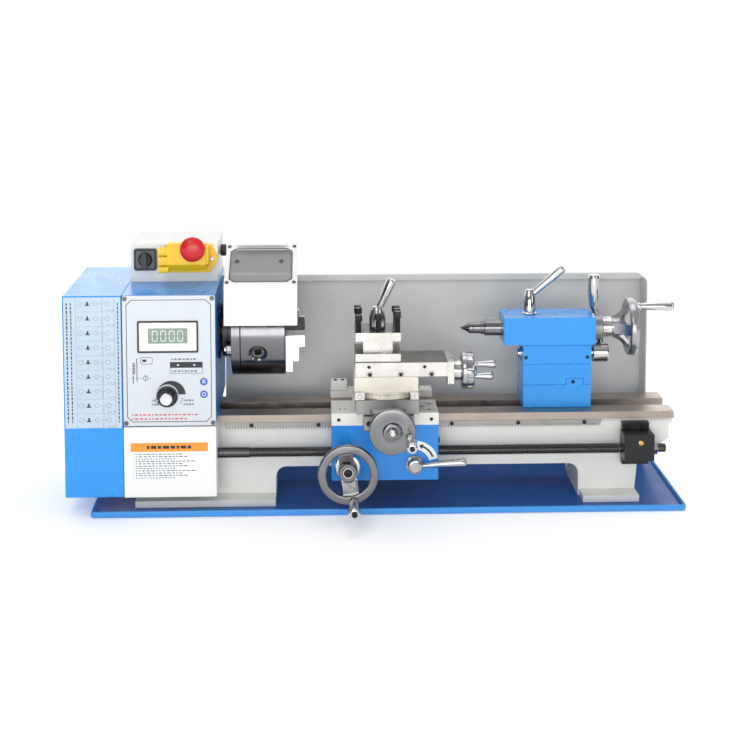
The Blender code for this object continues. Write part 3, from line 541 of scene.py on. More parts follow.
def bed():
    """Painted casting whose ways are bare ground steel."""
    thing = refined("bed_casting", "bed_paint", bevel=1.3)
    way_top = 113.9                # the ground tops of the ways lie just above this
    paint_faces(thing, "ground_lengthwise", lambda c, n: c.z > way_top and 17 < abs(c.y) < 52.5)
    (x0, x1), (y0, y1), (z0, z1) = span("gear_rack")
    pitch, depth = math.pi * 1.25, 3.4
    outline = [(x0, z1), (x0, z0 + depth)]
    for k in range(int((x1 - x0) / pitch)):
        start = x0 + k * pitch
        outline += [(start + 0.12 * pitch, z0 + depth), (start + 0.34 * pitch, z0),
                    (start + 0.66 * pitch, z0), (start + 0.88 * pitch, z0 + depth)]
    outline += [(x1, z0 + depth), (x1, z1)]
    piece("toothed_rack", "frame", "machined_iron", [prism(outline, "Y", (y0, y1))], (), ["gear_rack"], 0)
    spacing = (x1 - x0) / 5.64
    seats = [(x0 + 36 + spacing * k, y0, (z0 + z1) / 2 + 0.8) for k in range(6)]
    screws("rack_screws", "frame", "black_oxide", seats, "Y", -1, 2.9, 1.6)
    bolts = [(x, 66) for x in (-172, 282, 340)]
    pad, washer = 11.5, 1.6
    washers = [tube("Z", bolt, 9, 4.5, (pad, pad + washer)) for bolt in bolts]
    group("foot_washers", "frame", "bright_steel", washers, bevel=0.3)
    screws("foot_bolts", "frame", "black_oxide", [(*bolt, pad + washer) for bolt in bolts], "Z", 1, 6.5, 6.5)


def guards():
    """The splash guard and the two round heads that hold it."""
    refined("splash_guard", "grey_sheet_and_painted_shade", bevel=0.7)
    x0, x1 = span("splash_guard")[0]
    head = [(126, 0), (126, 4.2), (124.6, 3.8), (123.4, 2.2), (123, 0)]
    heads = [turned(head, "Y", (x, 200), 24) for x in (x0 + 30, x1 - 60)]
    group("splash_guard_screws", "frame", "chrome_plate", heads)


def leadscrew():
    """A screw with a real helical thread between plain ends."""
    (x0, x1), (y0, y1), _ = span("leadscrew")
    centre = middle_of("leadscrew", "X")
    crest, core, pitch, sides = (y1 - y0) / 2, (y1 - y0) / 2 - 1.3, 3.0, 20
    start, end = -196.0, 322.0
    section = [(0.0, core), (0.2, crest), (0.5, crest), (0.72, core)]
    levels = [(start + (k + a) * pitch, r) for k in range(int((end - start) / pitch)) for a, r in section]
    step, count, last = len(section), len(levels), sides - 1
    vertices, faces = [], []
    for k in range(sides):
        angle = 2 * math.pi * k / sides
        for level, radius in levels:
            vertices.append((level + pitch * k / sides, centre[0] + radius * math.cos(angle),
                             centre[1] + radius * math.sin(angle)))
    for k in range(sides):
        near, far = k * count, (k + 1) % sides * count
        lead = step if k == last else 0
        for i in range(count - 1 - lead):
            faces.append((near + i, near + i + 1, far + i + 1 + lead, far + i + lead))
    starts = [k * count for k in range(sides)]
    ends = [near + count - 1 for near in starts]
    faces.append((*starts, *range(step, 0, -1)))
    faces.append((*ends[:-1], *range(ends[-1] - step, ends[-1]), ends[-1]))
    plain = turned([(x0, 0), (x0, 5.4), (x0 + 0.6, 6), (-360, 6), (-360, crest), (start + 1.5, crest),
                    (start + 3.0, core), (start + 3.0, 0)], "X", centre, 40)
    stub = turned([(end - 4, 0), (end - 4, core), (end - 1, 6), (x1 - 0.6, 6), (x1, 5.4), (x1, 0)], "X",
                  centre, 40)
    turned_look("screw_steel", "ground_steel", "X", centre, (84, 82, 83), 0.3)
    group("threaded_leadscrew", "leadscrew", "screw_steel", [(vertices, faces), plain, stub], ["leadscrew"],
          sharp=20)


def leadscrew_end():
    """Black bearing block at the right end, with its screws, oiler and nut."""
    refined("leadscrew_bracket", "black_oxide", bevel=1.2)
    (x0, x1), (y0, _), _ = span("leadscrew_bracket")
    seats = [(x, -57.8, 104.5) for x in (x0 + 12, x1 - 10)]
    screws("bracket_screws", "frame", "black_oxide", seats, "Y", -1, 3.6, 3.4)
    cap = [(y0, 0), (y0, 3.4), (y0 - 0.8, 3.4), (y0 - 1.2, 2.4), (y0 - 0.7, 1.4), (y0 - 1.1, 0)]
    oiler = turned(cap, "Y", ((x0 + x1) / 2 + 2, 90), 24)
    piece("bracket_oiler", "frame", "brass_turned", [oiler], bevel=0)
    centre = (-68, 76.5)
    nut = tube("X", centre, 9.5, 6.05, (x1 + 1, x1 + 8), 6)
    washer = tube("X", centre, 11, 6.05, (x1 + 0.4, x1 + 1), 40)
    group("leadscrew_end_nut", "leadscrew", "chrome_plate", [nut, washer], bevel=0.5)


# ---------------------------------------------------------------- headstock

def headstock():
    """The casting and the screwed ring round the spindle nose."""
    x1 = span("headstock_casting")[0][1]
    refined("headstock_casting", "blue_enamel", bevel=2.2, segments=3)
    ring = tube("X", AXIS, 41, 33, (x1 + 0.2, x1 + 2.4), 72)
    piece("spindle_nose_ring", "frame", "black_oxide", [ring])
    seats = [(x1 + 2.4, 37 * math.cos(a), AXIS_Z + 37 * math.sin(a)) for a in (0.6, 2.2, 3.8, 5.4)]
    screws("nose_ring_screws", "frame", "black_oxide", seats, "X", 1, 2.6, 1.8)


def dashes(x, z, count, length, gap, height, y, order=7):
    """A row of short bars of uneven length, where small print would be."""
    bars, place = [], x
    for k in range(count):
        size = length * (0.6 + 0.8 * ((k * order) % 5) / 4)
        bars.append(block((place, place + size), (y - 0.08, y + SUNK), (z, z + height)))
        place += size + gap
    return bars


def control_panel():
    """Printed plate with a display in a bezel, a scale round the knob and corner screws."""
    (x0, x1), (front, back), (z0, z1) = span("control_panel")
    knob = (-304, 165)
    plate = prism(rounded((x0 + 0.4, x1 - 0.2), (z0, z1), 2.5), "Y", (front, back))
    piece("panel_plate", "frame", "silver_film", [plate], [drum("Y", knob, 5, (front - 5, back + 5))],
          ["control_panel"], 0.5)

    def film(outline, depth=0.12):
        return prism(outline, "Y", (front - depth, front + SUNK))

    def line(outer, inner):
        return hoop(outer, inner, "Y", (front - 0.12, front + SUNK))

    def bar(left, right, low, high, depth=0.1):
        return block((left, right), (front - depth, front + SUNK), (low, high))

    def inset(pair, amount):
        return (pair[0] + amount, pair[1] - amount)

    across, up = inset((x0, x1), 5.5), inset((z0, z1), 5.5)
    border = line(chamfered(across, up, 7), chamfered(inset(across, 0.9), inset(up, 0.9), 6.6))
    wide, tall = (-343.5, -261.0), (225.5, 269.5)
    bezel = hoop(rounded(wide, tall, 2), rounded(inset(wide, 2.4), inset(tall, 2.4), 1), "Y",
                 (front - 1.6, front + SUNK))
    piece("display_bezel", "frame", "black_moulded", [bezel])
    group("display_card", "frame", "print_white", [film(rounded(inset(wide, 2), inset(tall, 2), 1), 0.3)])
    glass = prism(rounded((-329.1, -275.7), (238.3, 259.1), 1), "Y", (front - 0.8, front - 0.2))
    piece("display_glass", "frame", "liquid_crystal", [glass], bevel=0.2)
    digits = []
    for k in range(4):
        left = -323 + 11.5 * k
        flat = [(left, left + 6.4, low, low + 1) for low in (255, 241.4)]
        upright = [(a, a + 1, low, low + 5) for low in (249.6, 242.8) for a in (left - 0.6, left + 6)]
        digits += [block((a, b), (front - 0.86, front - 0.78), (c, d)) for a, b, c, d in flat + upright]
    group("display_digits", "frame", "print_white", digits)

    def frame_line(left, right, low, high, width):
        edges = [(left + w, right - w, low + w, high - w) for w in (0, width)]
        return line(*[[(a, c), (b, c), (b, d), (a, d)] for a, b, c, d in edges])

    band = bar(-299.4, -256, 204.5, 212.2, 0.12)
    box_line = frame_line(-299.8, -255.6, 196.6, 212.6, 0.5)
    mode = line(rounded((-339.8, -323.2), (209.8, 219.6), 2.4), rounded((-339.2, -323.8), (210.4, 219.0), 2))
    half_ring = circle((knob[0] + 5.5, knob[1] + 2), 19.6, 40, 2, 180)
    inside = circle((knob[0] + 0.5, knob[1] + 2), 14.6, 40, 2, 180)
    scale = film(half_ring + inside[::-1])
    marks = []
    for degrees in (190, 200, 210, 330, 340, 350):
        a = math.radians(degrees)
        corners = ((17, a - 0.02), (20, a - 0.02), (20, a + 0.02), (17, a + 0.02))
        marks.append(film([(knob[0] + 2 + r * math.cos(t), knob[1] + r * math.sin(t)) for r, t in corners]))
    glyph = [bar(-350.6, -346.8, z, z + 1.2) for z in range(196, 211, 2)]
    glyph += [bar(-345, -344, 186, 218), bar(-350, -349, 183, 194), bar(-337, -331.5, 213, 216.4)]
    glyph += [bar(-353 + 3.2 * k, -351.4 + 3.2 * k, 190.2, 190.9) for k in range(9)]
    glyph.append(line(circle((-332.8, 190.5), 3.6, 24), circle((-332.8, 190.5), 3.0, 24)))
    glyph.append(bar(-333.1, -332.5, 185.4, 195.6))
    group("panel_print_black", "frame", "print_black", [border, band, box_line, mode, scale, *marks, *glyph])
    grey = dashes(-298, 215.2, 7, 3.6, 1.6, 2.4, front) + dashes(-297, 198.6, 8, 2.8, 1.6, 2.6, front)
    for left, count, length in ((-325, 3, 2.6), (-282, 4, 2.8)):
        for low in (158, 152.5):
            grey += dashes(left, low, count, length, 1, 2.6, front)
    group("panel_print_grey", "frame", "print_grey", grey)
    rose = dashes(-352, 138.6, 17, 3.6, 1.8, 1.9, front, 3) + dashes(-352, 133.0, 14, 3.6, 1.8, 1.9, front, 4)
    group("panel_print_rose", "frame", "print_red", rose)
    discs = [film(circle((-254.2, z), 5.2, 32)) for z in (185.2, 167.5)]
    group("panel_discs", "frame", "print_blue", discs)
    raised = (front - 0.2, front - SUNK)
    white = [block((-256.6, -251.8), raised, (z, z + 0.9)) for z in (183, 185, 187)]
    white.append(hoop(circle((-254.2, 167.5), 2.8, 24), circle((-254.2, 167.5), 1.9, 24), "Y", raised))
    white += [film(circle((x, 208.3), 1.3, 16), 0.2) for x in (-288.8, -266.8)]
    group("panel_marks", "frame", "print_white", white)
    corners = [(x, front, z) for x in (x0 + 4.2, x1 - 4.2) for z in (z0 + 4, z1 - 4)]
    screws("panel_screws", "frame", "dark_ground_and_painted_shade", corners, "Y", -1, 3.1, 1.5, socket=0.42, depth=0.5)


def knobs():
    """The fluted speed knob with its spun cap and pointer."""
    y0, y1 = span("speed_knob")[1]
    centre = middle_of("speed_knob", "Y")
    flutes = [drum("Y", spot, 1.5, (y0 - 1, y0 + 9.5), 16) for spot in around(centre, 12.4, 14)]
    skirt = [(y1, 0), (y1, 3.4), (-99.4, 3.4), (-99.4, 14.2), (-100.4, 14.6), (-103.4, 14.2), (-104.4, 12.2),
             (y0 + 1, 10.8), (y0, 9.8), (y0, 0)]
    piece("speed_knob_body", "speed_knob", "black_moulded", [turned(skirt, "Y", centre, 72)], flutes,
          ["speed_knob"], 0.25)
    turned_look("spun_cap", "chrome", "Y", centre, (215, 216, 218), 0.2)
    cap = [(y0, 0), (y0, 8.1), (y0 - 0.7, 8.1), (y0 - 1, 7.6), (y0 - 0.7, 7), (y0 - 0.7, 0)]
    piece("speed_knob_cap", "speed_knob", "spun_cap", [turned(cap, "Y", centre)], bevel=0)
    pointer = block((centre[0] - 13.6, centre[0] - 9.6), (-104.4, -103), (centre[1] - 4.6, centre[1] - 3.6))
    piece("speed_knob_pointer", "speed_knob", "print_white", [pointer], bevel=0.1)


# ---------------------------------------------------------------- covers

def covers():
    """The front cover with a label whose print is rows of bars, and the end cover."""
    (x0, x1), (front, _), _ = span("front_cover")
    refined("front_cover", "cream_sheet", bevel=1.0)
    left, right = x0 + 9.3, x1 - 11.5
    label = prism(rounded((left, right), (46.5, 100.5), 0.6), "Y", (front - 0.1, front + SUNK))
    piece("cover_label", "frame", "print_white", [label], bevel=0)
    band = block((left, right), (front - 0.2, front - SUNK), (88.2, 100.4))
    piece("cover_label_band", "frame", "print_orange", [band], bevel=0)
    rows = []
    for k in range(11):
        low = 84 - 3.3 * k
        rows += dashes(left + 6.5, low, 12 + (k * 5) % 4, 3.9, 1.6, 1.15, front - 0.1, 3 + k % 4)
        rows += dashes(left + 3.2, low, 1, 1.2, 0, 1.0, front - 0.1)
    rows += dashes(left + 22, 92.2, 8, 6.2, 1.9, 4.2, front - 0.2, 3)
    group("cover_label_rows", "frame", "print_black", rows)
    gear_cover()


def gear_cover():
    """End cover with a chart of gear trains as plain line figures, hung on three hinges."""
    (x0, x1), (front, back), (_, z1) = span("gear_cover")
    refined("gear_cover", "blue_enamel", bevel=1.6, segments=3)
    left, right, foot, top = x0 + 2, x1 - 1.2, 122.0, z1 - 2
    chart = prism(rounded((left, right), (foot, top), 0.8), "Y", (front - 0.1, front + SUNK))
    piece("gear_chart", "gear_cover", "print_pale_blue", [chart], bevel=0)
    rows, thin, bold = 9, [], []
    step = (top - foot) / rows
    film = (front - 0.16, front - SUNK)

    def bar(start, end, low, high, to=thin):
        to.append(block((left + start, left + end), film, (low, high)))

    for x in (16, 52, 68):
        bar(x, x + 0.35, foot, top)
    for k in range(rows):
        low = foot + step * k
        middle = low + step * 0.56
        bar(16, 68, low + 0.2, low + 0.5)
        for x, radius in ((22, 3.6), (43, 3.2), (59, 3.6)):
            outer, inner = [circle((left + x, middle), r, 6) for r in (radius, radius - 0.55)]
            thin.append(hoop(outer, inner, "Y", film))
        figure = [(28, -2.6), (36, -2.6), (33.4, -0.6), (33, 3), (31, 3), (30.6, -0.6)]
        bold.append(prism([(left + x, middle + z) for x, z in figure], "Y", film))
        bar(26, 40, middle - 0.15, middle + 0.15)
        bar(46.4, 55.4, middle - 0.15, middle + 0.15)
        bar(51, 51.35, low + 1.5, middle)
        for x in (66, 62, 58):
            bar(x, x + 1.4, low + 2.0, low + 3.4)
    group("gear_chart_lines", "gear_cover", "print_grey", thin)
    for column, wide in ((3.2, 1.8), (9, 1.5), (72, 1.5)):
        place = foot + 8
        k = 0
        while place < top - 9:
            size = 2.4 + 2.6 * ((k * 3) % 4) / 3
            bar(column, column + wide, place, place + size, bold)
            place += size + 1.5
            k += 1
    group("gear_chart_marks", "gear_cover", "print_black", bold)
    hinge, lows = (x1 + 0.4, back + 3), (60, 150, 240)
    knuckles = [tube("Z", hinge, 3.2, 1.5, (low, low + 18), 24) for low in lows]
    group("cover_hinge_knuckles", "gear_cover", "bright_steel", knuckles, bevel=0.3)
    pins = [drum("Z", hinge, 1.4, (low - 9, low + 27), 20) for low in lows]
    pins += [tube("Z", hinge, 3.2, 1.35, (low, low + 8.5), 24) for low in (51, 78.5, 141, 168.5, 231, 258.5)]
    group("cover_hinge_pins", "frame", "bright_steel", pins, bevel=0.2)
    # painted shade: the vent slots are flat black film on the cover's end, standing for the dark openings
    slots = [prism(rounded((-40, 60), (z, z + 4), 1.9), "X", (x0 - 0.1, x0 + SUNK))
             for z in range(150, 231, 16)]
    group("cover_vent_slot_shade", "gear_cover", "black_moulded", slots)


def switch_gear():
    """The box on the headstock with its rotary switch, and the stop switch beside it."""
    box = refined("switch_box", "white_sheet", bevel=1.6, segments=3)
    # painted shade: the white box's upward faces get the grey sheet colour so the top reads darker than the
    # front
    paint_faces(box, "grey_sheet_and_painted_shade", lambda c, n: n.z > 0.7)
    x, z = -342, 337
    spot = (x, z)
    base = prism(rounded((x - 16, x + 16), (z - 15.6, z + 15.6), 3.2), "Y", (-3.9, -0.1))
    face = prism(rounded((x - 13, x + 13), (z - 12.6, z + 12.6), 1.5), "Y", (-6, -3.1))
    hole = drum("Y", spot, 4, (-9, 3))
    piece("rotary_switch_plate", "frame", "black_moulded", [base], [face, hole], bevel=0.8)
    inlay = hoop(rounded((x - 12.8, x + 12.8), (z - 12.4, z + 12.4), 1.4), circle(spot, 10.5, 24), "Y",
                 (-3.5, -3.05))
    piece("rotary_switch_inlay", "frame", "grey_moulded", [inlay], bevel=0)
    collar = [(3, 0), (3, 3.3), (-3.2, 3.3), (-3.2, 9.2), (-4.4, 9.6), (-9, 8.8), (-10, 7.6), (-10, 0)]
    bar = prism(rounded((x - 3.5, x + 3.5), (z - 11, z + 11), 3.2), "Y", (-19.5, -5))
    piece("rotary_knob", "selector_knob", "black_moulded", [turned(collar, "Y", spot, 48), bar], (),
          ["selector_knob"], 0.6)
    stop_switch()


def stop_switch():
    """The stop button, its yellow base and the lid hinged over it."""
    centre, stem = middle_of("stop_button", "Y"), 4.7
    (x0, x1), (y0, y1), (z0, z1) = span("switch_housing")
    plate = [(x0, z0 + 4), (x0 + 5, z0 - 3), (x1 - 7, z0 - 3), (x1 + 4, z0 + 16), (x1 - 6, z1 + 2),
             (x0 + 4, z1 + 2), (x0, z1 - 2)]
    raised = prism(rounded((x0 + 8, x1 - 13), (z0 + 2, z1), 1.5), "Y", (y0, y0 + 7))
    lug = (x1 - 4, z0 + 16.5)
    seat = y0 + 6.8
    piece("stop_base", "frame", "yellow_moulded", [prism(plate, "Y", (y0 + 6, y1)), raised],
          [drum("Y", centre, stem, (-20, 3)), drum("Y", lug, 3.4, (y0 + 4, seat))], ["switch_housing"], 0.9)
    screws("stop_base_screw", "frame", "chrome_plate", [(lug[0], seat, lug[1])], "Y", -1, 2.5, 1.3)
    (x0, x1), (y0, y1), (z0, z1) = span("switch_lid")
    side = [(y1, z1), (y1, z0 + 3), (y0 + 9, z0 + 3), (y0, z0 + 12.5), (y0, z1 - 1.2), (y0 + 1.2, z1)]
    shell = prism(side, "X", (x0 + 12.5, x1 - 3.5))
    levels = ((z0, z0 + 9.4), (z0 + 10.6, z0 + 23.4), (z0 + 24.6, z1 - 6.6))
    knuckles = [prism(rounded((y0 + 3, y1 - 5), level, 2.2), "X", (x0, x0 + 14)) for level in levels]
    pin = drum("Z", (x0 + 3.6, y0 + 9), 1.6, (z0, z1 - 5.6), 24)
    ear = prism([(y0 + 4, z0 + 13), (y0 + 4, z1 - 6), (y1, z1 - 4), (y1, z0 + 7)], "X", (x1 - 4, x1 - 0.4))
    hollow = block((x0 + 15, x1 - 6), (y0 + 2.5, 5), (z0 + 15.5, z1 - 2.5))
    piece("stop_lid", "switch_lid", "yellow_moulded", [shell, *knuckles, pin, ear],
          [hollow, drum("Y", centre, stem, (-45, -5)), drum("X", (y0 + 11, z0 + 28), 3, (x1 - 8, x1 + 7))],
          ["switch_lid"], 0.8)
    (x0, x1), (y0, _), _ = span("stop_button")
    rim = (x1 - x0) / 2
    profile = [(-15, 0), (-15, 4), (-36, 4), (-37.4, 12), (-40, rim - 0.7), (y0 + 9.4, rim)]
    for degrees in range(81, -1, -9):
        slope = math.radians(degrees)
        profile.append((y0 + 7 - 7 * math.cos(slope), rim * math.sin(slope)))
    piece("stop_mushroom", "stop_button", "red_moulded", [turned(profile, "Y", centre, 72)], (),
          ["stop_button"], 0, sharp=40)


def chuck_guard():
    """Bent white sheet with a clear window in its slope, on a hinged shaft."""
    (x0, x1), (_, y1), (_, z1) = span("chuck_guard")
    knee = (-71, 313)
    outline = [(20, 354), knee, (-78, 257), (-76, 257), (-69.2, 311.8), (20, 352)]
    opening = prism(chamfered((x0 + 6.8, x1 - 7.5), (-65, 9.5), 7), "Z", (300, 360))
    piece("guard_sheet", "guard", "white_sheet", [prism(outline, "X", (x0, x1))], [opening],
          ["chuck_guard"], 0.5)
    slope = (z1 - knee[1]) / (y1 - knee[0])
    tilt = math.degrees(math.atan(slope))

    def over(y, lift=0):
        """A point at a height above the sloping sheet."""
        return (y, knee[1] + (y - knee[0]) * slope + lift)

    pane = [over(-69, -1.9), over(15, -1.9), over(15, -3.5), over(-69, -3.5)]
    piece("guard_window", "guard", "clear_window", [prism(pane, "X", (x0 + 2.5, x1 - 2.5))], bevel=0.3)
    corners = ((19, -3.7), (-24, -3.7), (-30, -9), (-31.5, -8.4), (-25, -5.2), (19, -5.2))
    strap = [over(*corner) for corner in corners]
    piece("guard_strap", "guard", "grey_sheet_and_painted_shade", [prism(strap, "X", (x0 + 8, x1 - 8))], bevel=0.3)
    middle = over(-27.75)
    outer, inner = [chamfered((x0 + 6.2 + w, x1 - 6.9 - w), (middle[0] - 41.5 + w, middle[0] + 41.5 - w), cut)
                    for w, cut in ((0, 7.3), (1.2, 7))]
    seal = hoop(outer, inner, "Z", (middle[1] - 0.3, middle[1] + 0.4))
    piece("window_seal", "guard", "black_moulded", [turn(seal, "X", middle, tilt)], bevel=0)
    seats = [(x, over(y), 2.7, 1.5, 0.45) for x in (x0 + 4.2, x1 - 4.6) for y in (-66.5, 14.5)]
    seats += [(x, over(-16, -1.9), 3.2, 1.6, 0.5) for x in (x0 + 16, x1 - 23)]
    heads = [turn(screw_head((x, *seat), "Z", 1, radius, height, socket), "X", seat, tilt)
             for x, seat, radius, height, socket in seats]
    group("guard_screws", "guard", "dark_ground_and_painted_shade", heads)
    refined("guard_arm", "white_sheet", bevel=0.5)
    cap = [(-238, 0), (-238, 7.4), (-236, 8.6), (-230.6, 8.6), (-229.6, 7.6), (-229.6, 0)]
    piece("guard_pivot_cap", "guard", "black_moulded", [turned(cap, "X", (30, 345), 48)], bevel=0.3)


# ---------------------------------------------------------------- chuck

JAW_ANGLES = (260.0, 20.0, 140.0)      # from +Y towards +Z
KEY_ANGLES = (200.0, 320.0, 80.0)      # chuck key sockets, between the jaws


def chuck():
    """The chuck's shell with its key sockets, its mounting nuts, the jaws and the spindle."""
    (x0, x1), _, (_, top) = span("chuck_body")
    radius = top - AXIS_Z
    refined("chuck_backplate", "chuck_steel", bevel=0.8)

    def at(shape, angle):
        return turn(shape, "X", AXIS, angle)

    key = (-182, AXIS_Z)
    floor = -177.8
    body = turned([(x0, 50), (x0, radius - 0.8), (x0 + 0.8, radius), (x1 - 1.5, radius), (x1, radius - 1.5),
                   (x1, 40), (x1, 30), (x1, 18), (x1 - 2, 16), (floor, 16), (floor, 50)], "X", AXIS, 128)
    cuts = []
    for angle in JAW_ANGLES:
        for reach, half in (((-178.5, x1 + 5), 7), ((x1 - 17, x1 - 12.5), 9)):
            cuts.append(at(block(reach, (5, radius + 20), (AXIS_Z - half, AXIS_Z + half)), angle))
    well = turned([(radius - 14, 0), (radius - 14, 10), (radius - 3.2, 10), (radius - 0.2, 13.2),
                   (radius + 9, 16), (radius + 9, 0)], "Y", key, 56)
    cuts += [at(well, angle) for angle in KEY_ANGLES]
    piece("chuck_shell", "spindle", "chuck_steel", [body], cuts, ["chuck_body"], 0.35, sharp=28)
    hole = square_points(circle(key, 6.8, 4, 45, 405), 48)
    levels = ((12, circle(key, 9.6, 48)), (4.6, circle(key, 9.6, 48)), (3.8, circle(key, 8.8, 48)),
              (3.8, circle(key, 7.4, 48)), (4.6, hole), (11, hole))
    cup = lofted([[(a, radius - depth, b) for a, b in points] for depth, points in levels])
    group("chuck_key_sockets", "spindle", "dark_ground_and_painted_shade", [at(cup, angle) for angle in KEY_ANGLES])
    # painted shade: a black square at the bottom of each key socket stands for the dark inside the hole
    shade = block((key[0] - 4.7, key[0] + 4.7), (radius - 11, radius - 10.8), (AXIS_Z - 4.7, AXIS_Z + 4.7))
    group("key_socket_painted_shade", "spindle", "black_oxide", [at(shade, angle) for angle in KEY_ANGLES])
    nuts = []
    for angle in (82.0, 202.0, 322.0):
        spot = (49 * math.cos(math.radians(angle)), AXIS_Z + 49 * math.sin(math.radians(angle)))
        nut = [(-226.5, 0), (-226.5, 5.8), (-225.8, 6.5), (-219.5, 6.5), (-219.5, 0)]
        nuts += [turned(nut, "X", spot, 6), drum("X", spot, 3.4, (-229.4, -226.4), 24)]
    group("chuck_mounting_nuts", "spindle", "bright_steel", nuts, bevel=0.3)
    for number, angle in enumerate(JAW_ANGLES, 1):
        jaw(number, angle)
    turned_look("nose_steel", "black_steel", "X", AXIS, (62, 62, 65), 0.3)
    profile = [(-432, 10), (-432, 14), (-431, 15), (-233, 15), (-233, 37.2), (-232.2, 38), (-226, 38),
               (-225.4, 36.5), (-224.6, 36.5), (-224, 38), (-220.6, 38), (-219.8, 37.2), (-219.8, 10)]
    piece("spindle_bar", "spindle", "nose_steel", [turned(profile, "X", AXIS, 80)], (), ["spindle"], 0)


def square_points(corners, count):
    """Points spread evenly round a four-sided outline."""
    side = count // 4
    points = []
    for k in range(4):
        (a, b), (c, d) = corners[k], corners[(k + 1) % 4]
        points += [(a + (c - a) * i / side, b + (d - b) * i / side) for i in range(side)]
    return points


def jaw(number, angle):
    """Stepped jaw with ground sides, guide grooves and a pointed inner end."""
    back, face = -177.7, -143.6
    plan = [(back, 9), (back, 60), (face + 9, 60), (face + 9, 45), (-125.5, 45), (-125.5, 25), (-117.2, 25),
            (-117.2, 9)]
    shape = prism(plan, "Z", (AXIS_Z - 6.6, AXIS_Z + 6.6))
    cuts = []
    for way in (1, -1):
        slope = [(5, AXIS_Z + 2.5 * way), (20, AXIS_Z + 20 * way), (0, AXIS_Z + 20 * way)]
        cuts.append(prism(slope, "X", (-185, -110)))
    for side in (-1, 1):
        z = AXIS_Z + side * 6.6
        cuts.append(block((face + 1.2, face + 2.4), (30, 70), (z - 0.7, z + 0.7)))
        for y in (12, 14.6, 17.2, 19.8, 22.4):
            cuts.append(block((-124.2, -122.4), (y, y + 1.3), (z - 0.6, z + 0.6)))
    # painted shade: the jaw that points up, in the guard's shadow, gets the dark ground steel; the other two
    # jaws are milled
    style = "dark_ground_and_painted_shade" if 90 < angle < 180 else "milled"
    piece(f"jaw_{number}_body", f"jaw_{number}", style, [turn(shape, "X", AXIS, angle)],
          [turn(cut, "X", AXIS, angle) for cut in cuts], [f"chuck_jaw_{number}"], 0.45)


# ---------------------------------------------------------------- carriage

def handle(name, body, axis, root, length, base, grip, node):
    """A turned handle with a waist, a crowned end and the screw that holds it."""
    first, second = PLANES[axis]
    centre, start = (root[first], root[second]), root["XYZ".index(axis)]
    steps = [(0, base), (0.03, base + 0.7), (0.08, base + 0.7), (0.11, base - 0.3)]
    for t in (0.12, 0.25, 0.4, 0.55, 0.7, 0.85, 1.0):
        swell = math.sin(math.pi / 2 * min(1, t * 1.15))
        steps.append((0.11 + 0.8 * t, base + (grip - base) * swell))
    steps += [(0.95, grip - 0.15), (0.975, grip - 0.8), (0.995, grip - 2.0), (1.0, grip - 2.8),
              (1.0, grip - 3.6), (0.94, grip - 3.8)]
    tip = start + length * 0.94
    profile = [(start, 0)] + [(start + length * t, r) for t, r in steps] + [(tip, 0)]
    piece(name, body, "chrome_plate", [turned(profile, axis, centre, 56)], (), [node], 0, sharp=40)
    screws(f"{name}_screw", body, "black_oxide", [placed(axis, tip, *centre)], axis, math.copysign(1, length),
           grip - 4.2, 1.8)


